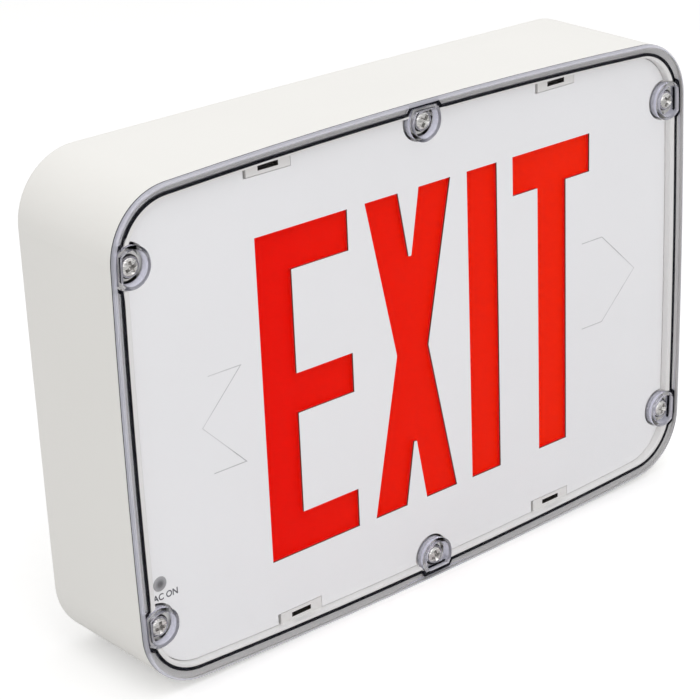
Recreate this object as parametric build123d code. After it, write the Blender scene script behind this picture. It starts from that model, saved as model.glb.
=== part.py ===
from build123d import *
import math
import os

# Wall-hung exit sign for wet places, all sizes in millimetres.
# Every piece is drawn lying on its back: X to the right, Y up the sign, Z out of the wall.
# At the end each piece is stood up, so that the wall is the plane Y = 0 and the front looks to -Y.

# Outline of the sign, set out from the legend
side_margin = 68.9
end_margin = 40.1
overall_depth = 71.6
long_edge_radius = 2900.0
short_edge_radius = 3500.0
corner_radius = 30.0
back_side_inset = 1.4
back_end_inset = 0.8
back_bow_radius = 25000.0
back_corner_radius = 31.0
cut_overrun = 1.0

# Housing
side_wall = 3.2
back_wall = 4.0
back_edge_radius = 3.0
rim_width = 6.7
rim_side_extra = 1.5
rim_lead_in = 0.4
rim_depth = 11.0
rim_taper_depth = 5.0
pilot_floor = 2.0
ledge_below_cover = 5.8
tongue_top_clearance = 0.3

# Clear cover
cover_thickness = 2.6
cover_skirt = 4.2
cover_edge_radius = 1.4
skirt_gap = 0.2
gasket_inset = 4.3
gasket_width = 1.3
gasket_height = 2.3
gasket_clearance = 0.1
gasket_top_clearance = 0.2
well_depth = 7.0
well_side_inset = 10.9
well_end_inset = 9.7
corner_well_below_top = 34.8
well_mouth_radius = 9.6
well_foot_radius = 8.9
well_wall = 1.7
well_floor = 1.9
well_flat_wall = 1.1
well_hole_radius = 2.25
well_clearance = 0.3
well_pocket_inset = 3.0
cover_screw_length = 17.0
cover_screw_radius = 2.0
cover_screw_head_radius = 4.6
cover_screw_head_height = 2.4
screw_head_edge = 0.8
cross_recess_reach = 4.8
cross_recess_width = 1.15
cross_recess_depth = 1.4
seal_radius = 5.1
seal_thickness = 0.7
boss_radius = 6.6
boss_web = 5.0
pilot_clearance = 0.05

# Stencil face plate
plate_recess = 6.6
plate_thickness = 2.2
plate_clearance = 0.3
plate_rib_inset = 2.0
plate_rib_thickness = 1.6
plate_rib_height = 5.0
letter_height = 152.4
letter_width = 50.9
letter_stroke = 18.8
letter_gap = 10.1
legend_offset = 6.5
diagonal_waist = 9.6
diagonal_notch_half = 6.2
diagonal_notch_depth = 30.8
diagonal_notch_tip = 0.8
chevron_height = 45.0
chevron_reach = 22.5
chevron_stroke = 16.0
chevron_left_gap = 11.1
chevron_right_gap = 10.2
score_width = 0.8
score_depth = 1.0

# Snap latches of the face plate
latch_width = 23.6
latch_depth = 5.4
latch_height = 3.8
latch_spacing_top = 170.0
latch_spacing_bottom = 160.0
latch_slot_width = 11.0
latch_slot_height = 2.3
latch_slot_edge = 1.6
latch_gap_left = 1.6
latch_gap = 0.3
hook_width = 9.6
hook_thickness = 1.1
hook_nib = 1.2
hook_rise = 1.0

# Indicator
indicator_above_well = 18.3
indicator_edge_gap = 2.1
indicator_radius = 3.4
indicator_proud = 0.3
indicator_depth = 1.6
indicator_clearance = 0.1
led_radius = 2.5
led_height = 8.0
led_flange_radius = 2.9
led_flange_height = 1.0
sleeve_wall = 1.2
sleeve_depth = 9.0

# Light chamber behind the letters
diffuser_thickness = 1.8
diffuser_side_lap = 20.6
diffuser_end_lap = 10.8
diffuser_corner_radius = 2.0
diffuser_rest = 3.5
tray_flange = 2.0
tray_side_gap = 1.9
tray_end_gap = 3.15
tray_corner_radius = 8.0
chamber_clearance = 4.4
chamber_draft = 6.0
chamber_wall = 1.6
chamber_corner_radius = 6.0
tray_post_inset = 9.0
post_radius = 4.5
small_screw_radius = 1.5
small_screw_head_radius = 3.0
small_screw_head_height = 1.6
small_screw_length = 8.0
small_hole_clearance = 0.3

# Light emitting diode strips
strip_end_gap = 3.4
strip_width = 12.0
strip_thickness = 1.6
strip_offset = 42.0
strip_screw_inset = 4.0
diodes_per_strip = 10
diode_end_gap = 12.5
diode_body = 5.0
diode_height = 2.6
diode_taper = 1.2

# Charger board on the back wall
board_x = 84.0
board_y = 0.0
board_width = 50.0
board_height = 116.0
board_thickness = 1.6
standoff_height = 6.0
standoff_radius = 3.2
board_screw_inset = 4.0
core_width = 34.0
core_height = 28.0
core_depth = 14.0
core_leg = 6.0
coil_width = 20.0
coil_depth = 19.0
coil_clearance = 0.2
coil_edge_radius = 1.0
transformer_end_gap = 24.0
relay_width = 19.0
relay_height = 15.5
relay_depth = 15.0
relay_edge = 0.6
relay_y = 4.0
capacitor_radius = 5.0
capacitor_height = 16.0
capacitor_edge = 0.8
capacitor_x = 12.0
capacitor_y = -18.0
terminal_width = 30.0
terminal_height = 11.0
terminal_depth = 10.0
terminal_ways = 3
terminal_end_gap = 12.0
terminal_mouth_width = 5.5
terminal_mouth_height = 4.0
terminal_mouth_reach = 4.4
terminal_mouth_level = 1.5
terminal_well_radius = 2.4
terminal_well_depth = 2.5
socket_width = 8.0
socket_height = 6.0
socket_depth = 7.0
socket_x = -14.0
socket_y = -22.0
socket_wall = 1.0
socket_pin_radius = 0.4
socket_pin_pitch = 3.2
socket_pin_height = 5.6

# Battery pack and its clip
cell_radius = 7.1
cell_length = 51.0
cell_count = 3
wrap_dip = 1.8
battery_x = -84.0
battery_y = 16.0
battery_clearance = 0.3
clip_thickness = 1.2
clip_width = 14.0
clip_foot = 9.0
clip_bend_radius = 2.0
clip_boss_height = 3.0
clip_boss_radius = 4.0

# Test switch in the underside
switch_x = -60.0
switch_level = 34.0
switch_recess_radius = 9.5
switch_recess_depth = 3.2
switch_pad_radius = 13.0
switch_pad_wall = 2.6
bezel_radius = 7.5
bezel_height = 1.2
bush_radius = 5.0
bush_clearance = 0.15
bush_length = 7.5
switch_body_size = 13.0
switch_body_height = 11.0
nut_across_flats = 14.0
nut_height = 2.5
button_radius = 2.9
button_clearance = 0.06
button_proud = 1.8
button_travel = 1.5
button_length = 11.0
button_edge = 0.5
button_end_clearance = 1.0

# Fixing to the wall
wire_entry_radius = 11.1
box_screw_spacing = 88.9
box_screw_radius = 2.4
wall_screw_spacing_x = 240.0
wall_screw_spacing_y = 140.0
wall_screw_radius = 2.75
wall_gasket_radius = 60.0
wall_gasket_width = 8.0
wall_gasket_thickness = 2.0
wall_gasket_clearance = 0.2

# Sizes that follow from the others
legend_width = 3 * letter_width + letter_stroke + 3 * letter_gap
overall_width = legend_width + 2 * side_margin
overall_height = letter_height + 2 * end_margin
corner_well_height = overall_height / 2 - corner_well_below_top
indicator_seat_radius = indicator_radius + indicator_clearance
sleeve_radius = indicator_seat_radius + sleeve_wall / 2
indicator_inset = rim_width + rim_side_extra + indicator_edge_gap + sleeve_radius
indicator_x = indicator_inset - overall_width / 2
indicator_y = indicator_above_well - corner_well_height
diffuser_width = legend_width + 2 * diffuser_side_lap
diffuser_height = letter_height + 2 * diffuser_end_lap
chamber_width = diffuser_width - 2 * diffuser_rest
chamber_height = diffuser_height - 2 * diffuser_rest
tray_width = overall_width - 2 * (well_side_inset + boss_radius + tray_side_gap)
tray_height = overall_height - 2 * (well_end_inset + boss_radius + tray_end_gap)
strip_length = chamber_width - 2 * (chamber_wall + chamber_draft + strip_end_gap)
pilot_radius = small_screw_radius + pilot_clearance
small_hole_radius = small_screw_radius + small_hole_clearance

# Levels above the wall that follow from the sizes
plate_front = overall_depth - plate_recess
plate_back = plate_front - plate_thickness
cover_underside = overall_depth - cover_thickness
ledge_level = overall_depth - ledge_below_cover
skirt_level = ledge_level + skirt_gap
gasket_top = ledge_level + gasket_height
bead_room_top = gasket_top + gasket_top_clearance
tongue_top = cover_underside - tongue_top_clearance
well_bottom = overall_depth - well_depth
seat_level = well_bottom + well_floor
flange_front = plate_back - diffuser_thickness
flange_back = flange_front - tray_flange
board_level = back_wall + standoff_height
board_front = board_level + board_thickness
chamber_floor = board_front + coil_depth + chamber_clearance
strip_level = chamber_floor + chamber_wall
strip_front = strip_level + strip_thickness
tongue_inset = gasket_inset + gasket_width + gasket_clearance
well_flat_inset = well_pocket_inset + well_clearance

well_centres = [
    (sx * (overall_width / 2 - well_side_inset), sy * corner_well_height)
    for sx in (-1, 1)
    for sy in (-1, 1)
]
well_centres += [(0, sy * (overall_height / 2 - well_end_inset)) for sy in (-1, 1)]


# Shared shapes
def bowed_rectangle(width, height, long_radius, short_radius, corner):
    """Rounded rectangle with slightly bowed edges, the overlap of four large discs."""
    long_centre = long_radius - height / 2
    short_centre = short_radius - width / 2
    shape = Pos(0, long_centre) * Circle(long_radius)
    shape &= Pos(0, -long_centre) * Circle(long_radius)
    shape &= Pos(short_centre, 0) * Circle(short_radius)
    shape &= Pos(-short_centre, 0) * Circle(short_radius)
    return fillet(shape.vertices(), corner)


def outline(inset, side_extra=0.0):
    """Outline of the front, moved inwards, by some more at the short sides."""
    width = overall_width - 2 * (inset + side_extra)
    height = overall_height - 2 * inset
    long_radius = long_edge_radius - inset
    short_radius = short_edge_radius - inset - side_extra
    return bowed_rectangle(width, height, long_radius, short_radius, corner_radius - inset)


def back_outline(inset):
    """Outline at the wall, whose edges are almost straight, moved inwards."""
    width = overall_width - 2 * (back_side_inset + inset)
    height = overall_height - 2 * (back_end_inset + inset)
    radius = back_bow_radius - inset
    return bowed_rectangle(width, height, radius, radius, back_corner_radius - inset)


def rim_outline(inset):
    """Outline of the rim's inner face, moved inwards."""
    return outline(rim_width + inset, rim_side_extra)


def edge_height(x, inset):
    """Height of the bowed long edge above the middle of the sign at a given x."""
    rise = math.sqrt((long_edge_radius - inset) ** 2 - x**2)
    return rise - (long_edge_radius - overall_height / 2)


def back_edge_height(x):
    """The same for the long edge at the wall."""
    rise = math.sqrt(back_bow_radius**2 - x**2)
    return rise - (back_bow_radius - overall_height / 2 + back_end_inset)


def slab(shape, bottom, top):
    return Pos(0, 0, bottom) * extrude(shape, top - bottom)


def disc(x, y, radius, bottom, top):
    return Pos(x, y, bottom) * extrude(Circle(radius), top - bottom)


def block(x, y, width, height, bottom, top):
    return Pos(x, y, bottom) * extrude(Rectangle(width, height), top - bottom)


def plain_screw(head_radius, head_height, shank_radius, length):
    """Screw whose head is seated at z = 0, with a bevelled crown and a plain shank."""
    head = disc(0, 0, head_radius, 0, head_height)
    head = chamfer(head.edges().sort_by(Axis.Z)[-1], screw_head_edge)
    return head + disc(0, 0, shank_radius, -length, 0)


def small_screw(length):
    return plain_screw(small_screw_head_radius, small_screw_head_height, small_screw_radius, length)


def group(shape, places):
    return Compound([Pos(*place) * shape for place in places])


def tray_posts():
    across = tray_width / 2 - tray_post_inset
    up = tray_height / 2 - tray_post_inset
    return [(sx * across, sy * up) for sx in (-1, 1) for sy in (-1, 1)]


def board_posts():
    across = board_width / 2 - board_screw_inset
    up = board_height / 2 - board_screw_inset
    return [(board_x + sx * across, board_y + sy * up) for sx in (-1, 1) for sy in (-1, 1)]


def clip_feet():
    reach = cell_radius * cell_count + battery_clearance + clip_thickness + clip_foot / 2
    return [(battery_x + sx * reach, battery_y) for sx in (-1, 1)]


def latch_places():
    """Place along the edge of each of the four latches, and 1 for the top or -1 for the bottom."""
    places = [(sx * latch_spacing_top / 2, 1) for sx in (-1, 1)]
    places += [(sx * latch_spacing_bottom / 2, -1) for sx in (-1, 1)]
    return places


def latch_reach():
    """Distance of a latch block's inner edge from the middle of the sign."""
    return edge_height(latch_spacing_bottom / 2, rim_width) - latch_depth


# Housing
def wall_holes():
    start = -cut_overrun
    end = back_wall + cut_overrun
    holes = disc(0, 0, wire_entry_radius, start, end)
    for sx in (-1, 1):
        holes += disc(sx * box_screw_spacing / 2, 0, box_screw_radius, start, end)
        for sy in (-1, 1):
            x = sx * wall_screw_spacing_x / 2
            y = sy * wall_screw_spacing_y / 2
            holes += disc(x, y, wall_screw_radius, start, end)
    groove = disc(0, 0, wall_gasket_radius, 0, wall_gasket_thickness)
    groove -= disc(0, 0, wall_gasket_radius - wall_gasket_width, 0, wall_gasket_thickness)
    return holes + groove


def boss_rib(x, y):
    """Rib from a screw column to the side wall nearest to it."""
    if x == 0:
        reach = well_end_inset + cut_overrun
        middle = y + math.copysign(reach / 2, y)
        return block(x, middle, boss_web, reach, pilot_floor, well_bottom)
    reach = well_side_inset + cut_overrun
    middle = x + math.copysign(reach / 2, x)
    return block(middle, y, reach, boss_web, pilot_floor, well_bottom)


def cover_bosses():
    """Six columns for the cover screws, each tied to the side wall by a rib."""
    bosses = Part()
    for x, y in well_centres:
        bosses += disc(x, y, boss_radius, pilot_floor, well_bottom)
        bosses += boss_rib(x, y)
    return bosses & slab(outline(back_side_inset + side_wall / 4), 0, overall_depth)


def well_pockets():
    """Room in the rim for the wells of the cover, down to the screw columns."""
    pockets = Part()
    for x, y in well_centres:
        pockets += disc(x, y, well_mouth_radius + well_clearance, well_bottom, overall_depth)
    pockets &= slab(outline(well_pocket_inset), well_bottom, overall_depth)
    hole_radius = cover_screw_radius + pilot_clearance
    hole_bottom = seat_level + seal_thickness - cover_screw_length - cut_overrun
    for x, y in well_centres:
        pockets += disc(x, y, hole_radius, hole_bottom, well_bottom + cut_overrun)
    return pockets


def latch_blocks():
    blocks = Part()
    for x, side in latch_places():
        inner = latch_reach()
        outer = overall_height / 2
        middle = side * (inner + outer) / 2
        block_back = plate_front - latch_height
        one = block(x, middle, latch_width, outer - inner, block_back, plate_front)
        slot = side * (inner + latch_slot_edge + latch_slot_height / 2)
        slot_back = block_back - cut_overrun
        one -= block(x, slot, latch_slot_width, latch_slot_height, slot_back, plate_front)
        blocks += one
    return blocks & slab(outline(rim_width / 2), 0, overall_depth)


def inner_posts():
    posts = Part()
    pilots = Part()
    clip_level = back_wall + clip_boss_height
    for x, y in tray_posts():
        posts += disc(x, y, post_radius, pilot_floor, flange_back)
        pilots += disc(x, y, pilot_radius, flange_back - small_screw_length, flange_back + cut_overrun)
    for x, y in board_posts():
        posts += disc(x, y, standoff_radius, pilot_floor, board_level)
        pilots += disc(x, y, pilot_radius, pilot_floor, board_level + cut_overrun)
    for x, y in clip_feet():
        posts += disc(x, y, clip_boss_radius, pilot_floor, clip_level)
        pilots += disc(x, y, pilot_radius, pilot_floor, clip_level + cut_overrun)
    return posts, pilots


def switch_wall():
    """Outer face of the underside at the switch, as a height below the middle."""
    x = abs(switch_x) + switch_recess_radius
    share = switch_level / ledge_level
    return (1 - share) * back_edge_height(x) + share * edge_height(x, 0)


def switch_axis(radius, start, end):
    """Cylinder on the switch's axis, between two distances from the recess floor inwards."""
    floor = switch_recess_depth - switch_wall()
    place = Pos(switch_x, floor + start, switch_level) * Rot(X=-90)
    return place * extrude(Circle(radius), end - start)


def housing():
    body = loft([back_outline(0), Pos(0, 0, ledge_level) * outline(0)], ruled=True)
    body = fillet(body.faces().sort_by(Axis.Z)[0].edges(), back_edge_radius)
    body += slab(outline(tongue_inset), ledge_level, tongue_top)

    rim_bottom = plate_front - rim_depth
    taper_top = rim_bottom + rim_taper_depth
    lead_in_bottom = tongue_top - rim_lead_in
    cavity = loft(
        [Pos(0, 0, back_wall) * back_outline(side_wall), Pos(0, 0, rim_bottom) * outline(side_wall)],
        ruled=True,
    )
    cavity += loft(
        [Pos(0, 0, rim_bottom) * outline(side_wall), Pos(0, 0, taper_top) * rim_outline(0)],
        ruled=True,
    )
    cavity += slab(rim_outline(0), taper_top, lead_in_bottom)
    wide = Pos(0, 0, tongue_top + cut_overrun) * rim_outline(-rim_lead_in - cut_overrun)
    cavity += loft([Pos(0, 0, lead_in_bottom) * rim_outline(0), wide], ruled=True)
    pad = switch_axis(switch_pad_radius, -switch_recess_depth / 2, switch_pad_wall)
    recess = switch_axis(switch_recess_radius, -switch_recess_depth - cut_overrun, 0)
    neck_hole = switch_axis(bush_radius + bush_clearance, -cut_overrun, switch_pad_wall + cut_overrun)
    posts, pilots = inner_posts()

    body -= cavity
    body += cover_bosses() + latch_blocks() + posts + pad
    body -= well_pockets() + pilots + wall_holes()
    body -= recess
    body -= neck_hole
    return body


def wall_gasket():
    outer = wall_gasket_radius - wall_gasket_clearance
    inner = wall_gasket_radius - wall_gasket_width + wall_gasket_clearance
    return disc(0, 0, outer, 0, wall_gasket_thickness) - disc(0, 0, inner, 0, wall_gasket_thickness)


# Clear cover and what seals and holds it
def tongue_path(grow):
    """Outline of the tongue with a bulge outside each well, moved outwards."""
    bulges = Sketch()
    for x, y in well_centres:
        bulges += Pos(x, y) * Circle(well_mouth_radius + well_clearance + grow)
    return outline(tongue_inset - grow) + (bulges & outline(well_pocket_inset - grow))


def cover_gasket():
    """Bead on the ledge between the tongue and the skirt, led round outside each well."""
    ring = tongue_path(gasket_clearance + gasket_width) - tongue_path(gasket_clearance)
    return slab(ring, ledge_level, gasket_top)


def well_cone(x, y, shrink, bottom, top):
    """Tapered well, measured from its foot at the level of the screw column."""
    slope = (well_mouth_radius - well_foot_radius) / well_depth
    foot = well_foot_radius + slope * (bottom - well_bottom) - shrink
    mouth = well_foot_radius + slope * (top - well_bottom) - shrink
    return Pos(x, y, (bottom + top) / 2) * Cone(foot, mouth, top - bottom)


def lens_cover():
    """Clear tray: flat face and skirt in one, with six screw wells that join the skirt."""
    wells = Part()
    hollows = Part()
    holes = Part()
    for x, y in well_centres:
        wells += well_cone(x, y, 0, well_bottom, overall_depth)
        hollows += well_cone(x, y, well_wall, seat_level, overall_depth + cut_overrun)
        holes += disc(x, y, well_hole_radius, well_bottom - cut_overrun, overall_depth)
    hollow_limit = outline(well_flat_inset + well_flat_wall)
    hollows &= slab(hollow_limit, seat_level, overall_depth + cut_overrun)
    feet = wells & slab(outline(well_flat_inset), well_bottom, bead_room_top)
    bead_room = tongue_path(2 * gasket_clearance + gasket_width)
    pocket = slab(bead_room, skirt_level, bead_room_top)
    pocket += slab(outline(cover_skirt), bead_room_top, cover_underside) - wells
    body = slab(outline(0), skirt_level, overall_depth) - pocket
    body = fillet(body.faces().sort_by(Axis.Z)[-1].edges(), cover_edge_radius)
    return body + feet - hollows - holes


def cover_screws():
    """Pan head screws with a cross recess, seated on their seals."""
    level = seat_level + seal_thickness
    top = cover_screw_head_height
    recess_bottom = top - cross_recess_depth
    screw = plain_screw(cover_screw_head_radius, top, cover_screw_radius, cover_screw_length)
    for width, height in (
        (cross_recess_reach, cross_recess_width),
        (cross_recess_width, cross_recess_reach),
    ):
        screw -= block(0, 0, width, height, recess_bottom, top + cut_overrun)
    return group(screw, [(x, y, level) for x, y in well_centres])


def screw_seals():
    ring = Circle(seal_radius) - Circle(cover_screw_radius + pilot_clearance)
    return group(extrude(ring, seal_thickness), [(x, y, seat_level) for x, y in well_centres])


# Stencil face plate
def bar(left, right, bottom, top):
    return Pos((left + right) / 2, (bottom + top) / 2) * Rectangle(right - left, top - bottom)


def letter_e():
    half = letter_height / 2
    left = -letter_width / 2
    shape = bar(left, left + letter_stroke, -half, half)
    for middle in (half - letter_stroke / 2, 0, letter_stroke / 2 - half):
        shape += bar(left, -left, middle - letter_stroke / 2, middle + letter_stroke / 2)
    return shape


def letter_x():
    half = letter_height / 2
    side = letter_width / 2
    notch = half - diagonal_notch_depth
    right_side = [
        (diagonal_notch_tip, notch),
        (diagonal_notch_half, half),
        (side, half),
        (diagonal_waist, 0),
        (side, -half),
        (diagonal_notch_half, -half),
        (diagonal_notch_tip, -notch),
    ]
    left_side = [(-x, y) for x, y in reversed(right_side)]
    return make_face(Polyline(*right_side, *left_side, close=True))


def letter_i():
    return Rectangle(letter_stroke, letter_height)


def letter_t():
    half = letter_height / 2
    shape = bar(-letter_width / 2, letter_width / 2, half - letter_stroke, half)
    return shape + bar(-letter_stroke / 2, letter_stroke / 2, -half, half)


def legend():
    """The four letters, each with its width, set out about the middle of the legend."""
    letters = [
        (letter_e(), letter_width),
        (letter_x(), letter_width),
        (letter_i(), letter_stroke),
        (letter_t(), letter_width),
    ]
    left = legend_offset - legend_width / 2
    shapes = []
    for shape, width in letters:
        shapes.append(Pos(left + width / 2, 0) * shape)
        left += width + letter_gap
    return shapes


def chevrons():
    """Tip and way of the two arrows: one beside the first letter, one beside the last stem."""
    left_tip = legend_offset - legend_width / 2 - chevron_left_gap
    stem_edge = legend_offset + legend_width / 2 - (letter_width - letter_stroke) / 2
    return [(left_tip, -1), (stem_edge + chevron_right_gap, 1)]


def chevron_line(tip, way):
    """Outline of a direction arrow that can be broken out, as a closed score line."""
    half = chevron_height / 2
    points = [
        (tip, half),
        (tip + way * chevron_stroke, half),
        (tip + way * (chevron_stroke + chevron_reach), 0),
        (tip + way * chevron_stroke, -half),
        (tip, -half),
        (tip + way * chevron_reach, 0),
    ]
    face = make_face(Polyline(*points, close=True))
    return offset(face, score_width / 2) - offset(face, -score_width / 2)


def plate_hooks():
    """Fingers behind the plate that reach out under the latch blocks and rise into their slots."""
    hooks = Part()
    inner = latch_reach() - latch_gap
    block_back = plate_front - latch_height
    finger_front = block_back - latch_gap
    finger_back = finger_front - hook_thickness
    slot_inner = latch_reach() + latch_slot_edge + latch_gap
    nib_top = block_back + hook_rise
    for x, side in latch_places():
        root = side * (inner - hook_thickness / 2)
        hooks += block(x, root, hook_width, hook_thickness, finger_back, plate_back)
        finger_outer = slot_inner + hook_nib
        finger_inner = inner - hook_thickness
        middle = side * (finger_inner + finger_outer) / 2
        finger_length = finger_outer - finger_inner
        hooks += block(x, middle, hook_width, finger_length, finger_back, finger_front)
        nib = side * (slot_inner + hook_nib / 2)
        hooks += block(x, nib, hook_width, hook_nib, finger_back, nib_top)
    return hooks


def face_plate():
    body = slab(rim_outline(plate_clearance), plate_back, plate_front)
    rib_inset = plate_clearance + plate_rib_inset
    rib = rim_outline(rib_inset) - rim_outline(rib_inset + plate_rib_thickness)
    body += slab(rib, plate_back - plate_rib_height, plate_back)
    sleeve_end = plate_front - sleeve_depth
    body += disc(indicator_x, indicator_y, sleeve_radius, sleeve_end, plate_back)

    cuts = Part()
    for x, y in well_centres:
        cuts += disc(x, y, well_mouth_radius + well_clearance, 0, overall_depth)
    for x, side in latch_places():
        inner = latch_reach() - latch_gap
        outer = overall_height / 2
        left = x - latch_width / 2 - latch_gap_left
        right = x + latch_width / 2 + latch_gap
        middle = side * (inner + outer) / 2
        cuts += block((left + right) / 2, middle, right - left, outer - inner, 0, overall_depth)
    body -= cuts
    body += plate_hooks()

    for letter in legend():
        body -= slab(letter, plate_back - cut_overrun, plate_front + cut_overrun)
    for tip, way in chevrons():
        body -= slab(chevron_line(tip, way), plate_back - cut_overrun, plate_back + score_depth)
    seat = plate_front - indicator_depth
    body -= disc(indicator_x, indicator_y, indicator_seat_radius, seat, plate_front + cut_overrun)
    bore = led_radius + indicator_clearance
    body -= disc(indicator_x, indicator_y, bore, sleeve_end - cut_overrun, plate_front)
    return body


def indicator_lens():
    seat = plate_front - indicator_depth
    body = disc(indicator_x, indicator_y, indicator_radius, seat, plate_front + indicator_proud)
    return chamfer(body.edges().sort_by(Axis.Z)[-1], indicator_proud)


def indicator_led():
    """Round lamp with a domed nose and a flange that butts on the sleeve behind the plate."""
    flange_top = plate_front - sleeve_depth
    nose = flange_top + led_height - led_flange_height
    body = disc(0, 0, led_radius, flange_top, nose - led_radius)
    body += Pos(0, 0, nose - led_radius) * Sphere(led_radius)
    body += disc(0, 0, led_flange_radius, flange_top - led_flange_height, flange_top)
    return Pos(indicator_x, indicator_y) * body


# Light chamber
def red_diffuser():
    sheet = RectangleRounded(diffuser_width, diffuser_height, diffuser_corner_radius)
    sheet = Pos(legend_offset, 0) * sheet
    return slab(sheet, flange_front, plate_back)


def chamber(shrink, floor, top):
    """Tapered space open to the front; shrink is taken off all round."""
    wide_width = chamber_width - 2 * shrink
    wide_height = chamber_height - 2 * shrink
    narrow_width = wide_width - 2 * chamber_draft
    narrow_height = wide_height - 2 * chamber_draft
    wide = RectangleRounded(wide_width, wide_height, chamber_corner_radius)
    narrow = RectangleRounded(narrow_width, narrow_height, chamber_corner_radius)
    place = Pos(legend_offset, 0)
    return loft([place * Pos(0, 0, floor) * narrow, place * Pos(0, 0, top) * wide], ruled=True)


def reflector_tray():
    """White tray with a flange round a tapered light chamber, hung on four posts."""
    sheet = RectangleRounded(tray_width, tray_height, tray_corner_radius)
    body = slab(sheet, flange_back, flange_front) + chamber(0, chamber_floor, flange_front)
    body -= chamber(chamber_wall, strip_level, flange_front + cut_overrun)
    for x, y in tray_posts():
        body -= disc(x, y, small_hole_radius, flange_back - cut_overrun, flange_front + cut_overrun)
    post_end = strip_front - small_screw_length
    for x, y in strip_screw_places():
        body += disc(x, y, post_radius, post_end, chamber_floor)
        body -= disc(x, y, pilot_radius, post_end - cut_overrun, strip_front)
    return body


def tray_screws():
    screw = small_screw(small_screw_length)
    return group(screw, [(x, y, flange_front) for x, y in tray_posts()])


def strip_screw_places():
    reach = strip_length / 2 - strip_screw_inset
    return [(legend_offset + sx * reach, sy * strip_offset) for sx in (-1, 1) for sy in (-1, 1)]


def led_board(side):
    """Narrow board for one row of diodes; side is 1 for the upper and -1 for the lower one."""
    y = side * strip_offset
    board = block(legend_offset, y, strip_length, strip_width, strip_level, strip_front)
    for x, y in strip_screw_places():
        board -= disc(x, y, small_hole_radius, strip_level - cut_overrun, strip_front + cut_overrun)
    return board


def led_board_screws():
    screw = small_screw(small_screw_length)
    return group(screw, [(x, y, strip_front) for x, y in strip_screw_places()])


def diodes():
    """Two rows of moulded diodes, square at the board and narrower at the lens."""
    body = block(0, 0, diode_body, diode_body, 0, diode_height)
    body = chamfer(body.faces().sort_by(Axis.Z)[-1].edges(), diode_taper)
    row_length = strip_length - 2 * diode_end_gap
    pitch = row_length / (diodes_per_strip - 1)
    first = legend_offset - row_length / 2
    places = [
        (first + pitch * step, side * strip_offset, strip_front)
        for side in (-1, 1)
        for step in range(diodes_per_strip)
    ]
    return group(body, places)


# Charger board
def control_board():
    board = block(board_x, board_y, board_width, board_height, board_level, board_front)
    for x, y in board_posts():
        board -= disc(x, y, small_hole_radius, board_level - cut_overrun, board_front + cut_overrun)
    return board


def control_board_screws():
    screw = small_screw(small_screw_length)
    return group(screw, [(x, y, board_front) for x, y in board_posts()])


def transformer_core():
    """Laminated frame with two windows, standing on the board."""
    x = board_x
    y = board_y + board_height / 2 - transformer_end_gap
    core = block(x, y, core_width, core_height, board_front, board_front + core_depth)
    window = (core_width - 3 * core_leg) / 2
    for side in (-1, 1):
        middle = x + side * (core_leg / 2 + window / 2)
        opening = block(middle, y, window, core_height - 2 * core_leg, 0, overall_depth)
        core -= opening
    return core


def transformer_coil():
    """Winding round the middle leg of the core."""
    x = board_x
    y = board_y + board_height / 2 - transformer_end_gap
    height = core_height - 2 * (core_leg + coil_clearance)
    body = block(x, y, coil_width, height, board_front, board_front + coil_depth)
    body = fillet(body.edges().filter_by(Axis.Y), coil_edge_radius)
    leg = core_leg + 2 * coil_clearance
    leg_top = board_front + core_depth + coil_clearance
    body -= block(x, y, leg, core_height, board_front - cut_overrun, leg_top)
    return body


def relay():
    y = board_y + relay_y
    body = block(board_x, y, relay_width, relay_height, board_front, board_front + relay_depth)
    return chamfer(body.faces().sort_by(Axis.Z)[-1].edges(), relay_edge)


def filter_capacitor():
    x = board_x + capacitor_x
    y = board_y + capacitor_y
    body = disc(x, y, capacitor_radius, board_front, board_front + capacitor_height)
    return chamfer(body.edges().sort_by(Axis.Z)[-1], capacitor_edge)


def terminal_block():
    """Three-way connector with a wire mouth at its end and a screw well over each way."""
    y = board_y - board_height / 2 + terminal_end_gap
    top = board_front + terminal_depth
    body = block(board_x, y, terminal_width, terminal_height, board_front, top)
    way = terminal_width / terminal_ways
    front = y - terminal_height / 2
    mouth_bottom = board_front + terminal_mouth_level
    mouth_top = mouth_bottom + terminal_mouth_height
    for step in range(terminal_ways):
        x = board_x - terminal_width / 2 + way * (step + 1 / 2)
        mouth_length = 2 * terminal_mouth_reach
        body -= block(x, front, terminal_mouth_width, mouth_length, mouth_bottom, mouth_top)
        body -= disc(x, y, terminal_well_radius, top - terminal_well_depth, top + cut_overrun)
    return body


def battery_socket():
    x = board_x + socket_x
    y = board_y + socket_y
    top = board_front + socket_depth
    inner_width = socket_width - 2 * socket_wall
    inner_height = socket_height - 2 * socket_wall
    body = block(x, y, socket_width, socket_height, board_front, top)
    body -= block(x, y, inner_width, inner_height, board_front + socket_wall, top + cut_overrun)
    for side in (-1, 1):
        pin_x = x + side * socket_pin_pitch / 2
        body += disc(pin_x, y, socket_pin_radius, board_front, board_front + socket_pin_height)
    return body


# Battery
def battery_pack():
    """Row of cells in one shrink wrap, lying on the back wall."""
    level = back_wall + cell_radius
    pitch = 2 * cell_radius
    row = Rectangle(pitch * (cell_count - 1), 2 * (cell_radius - wrap_dip))
    for step in range(cell_count):
        row += Pos(pitch * (step - (cell_count - 1) / 2), 0) * Circle(cell_radius)
    place = Pos(battery_x, battery_y + cell_length / 2, level) * Rot(X=90)
    return place * extrude(row, cell_length)


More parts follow.
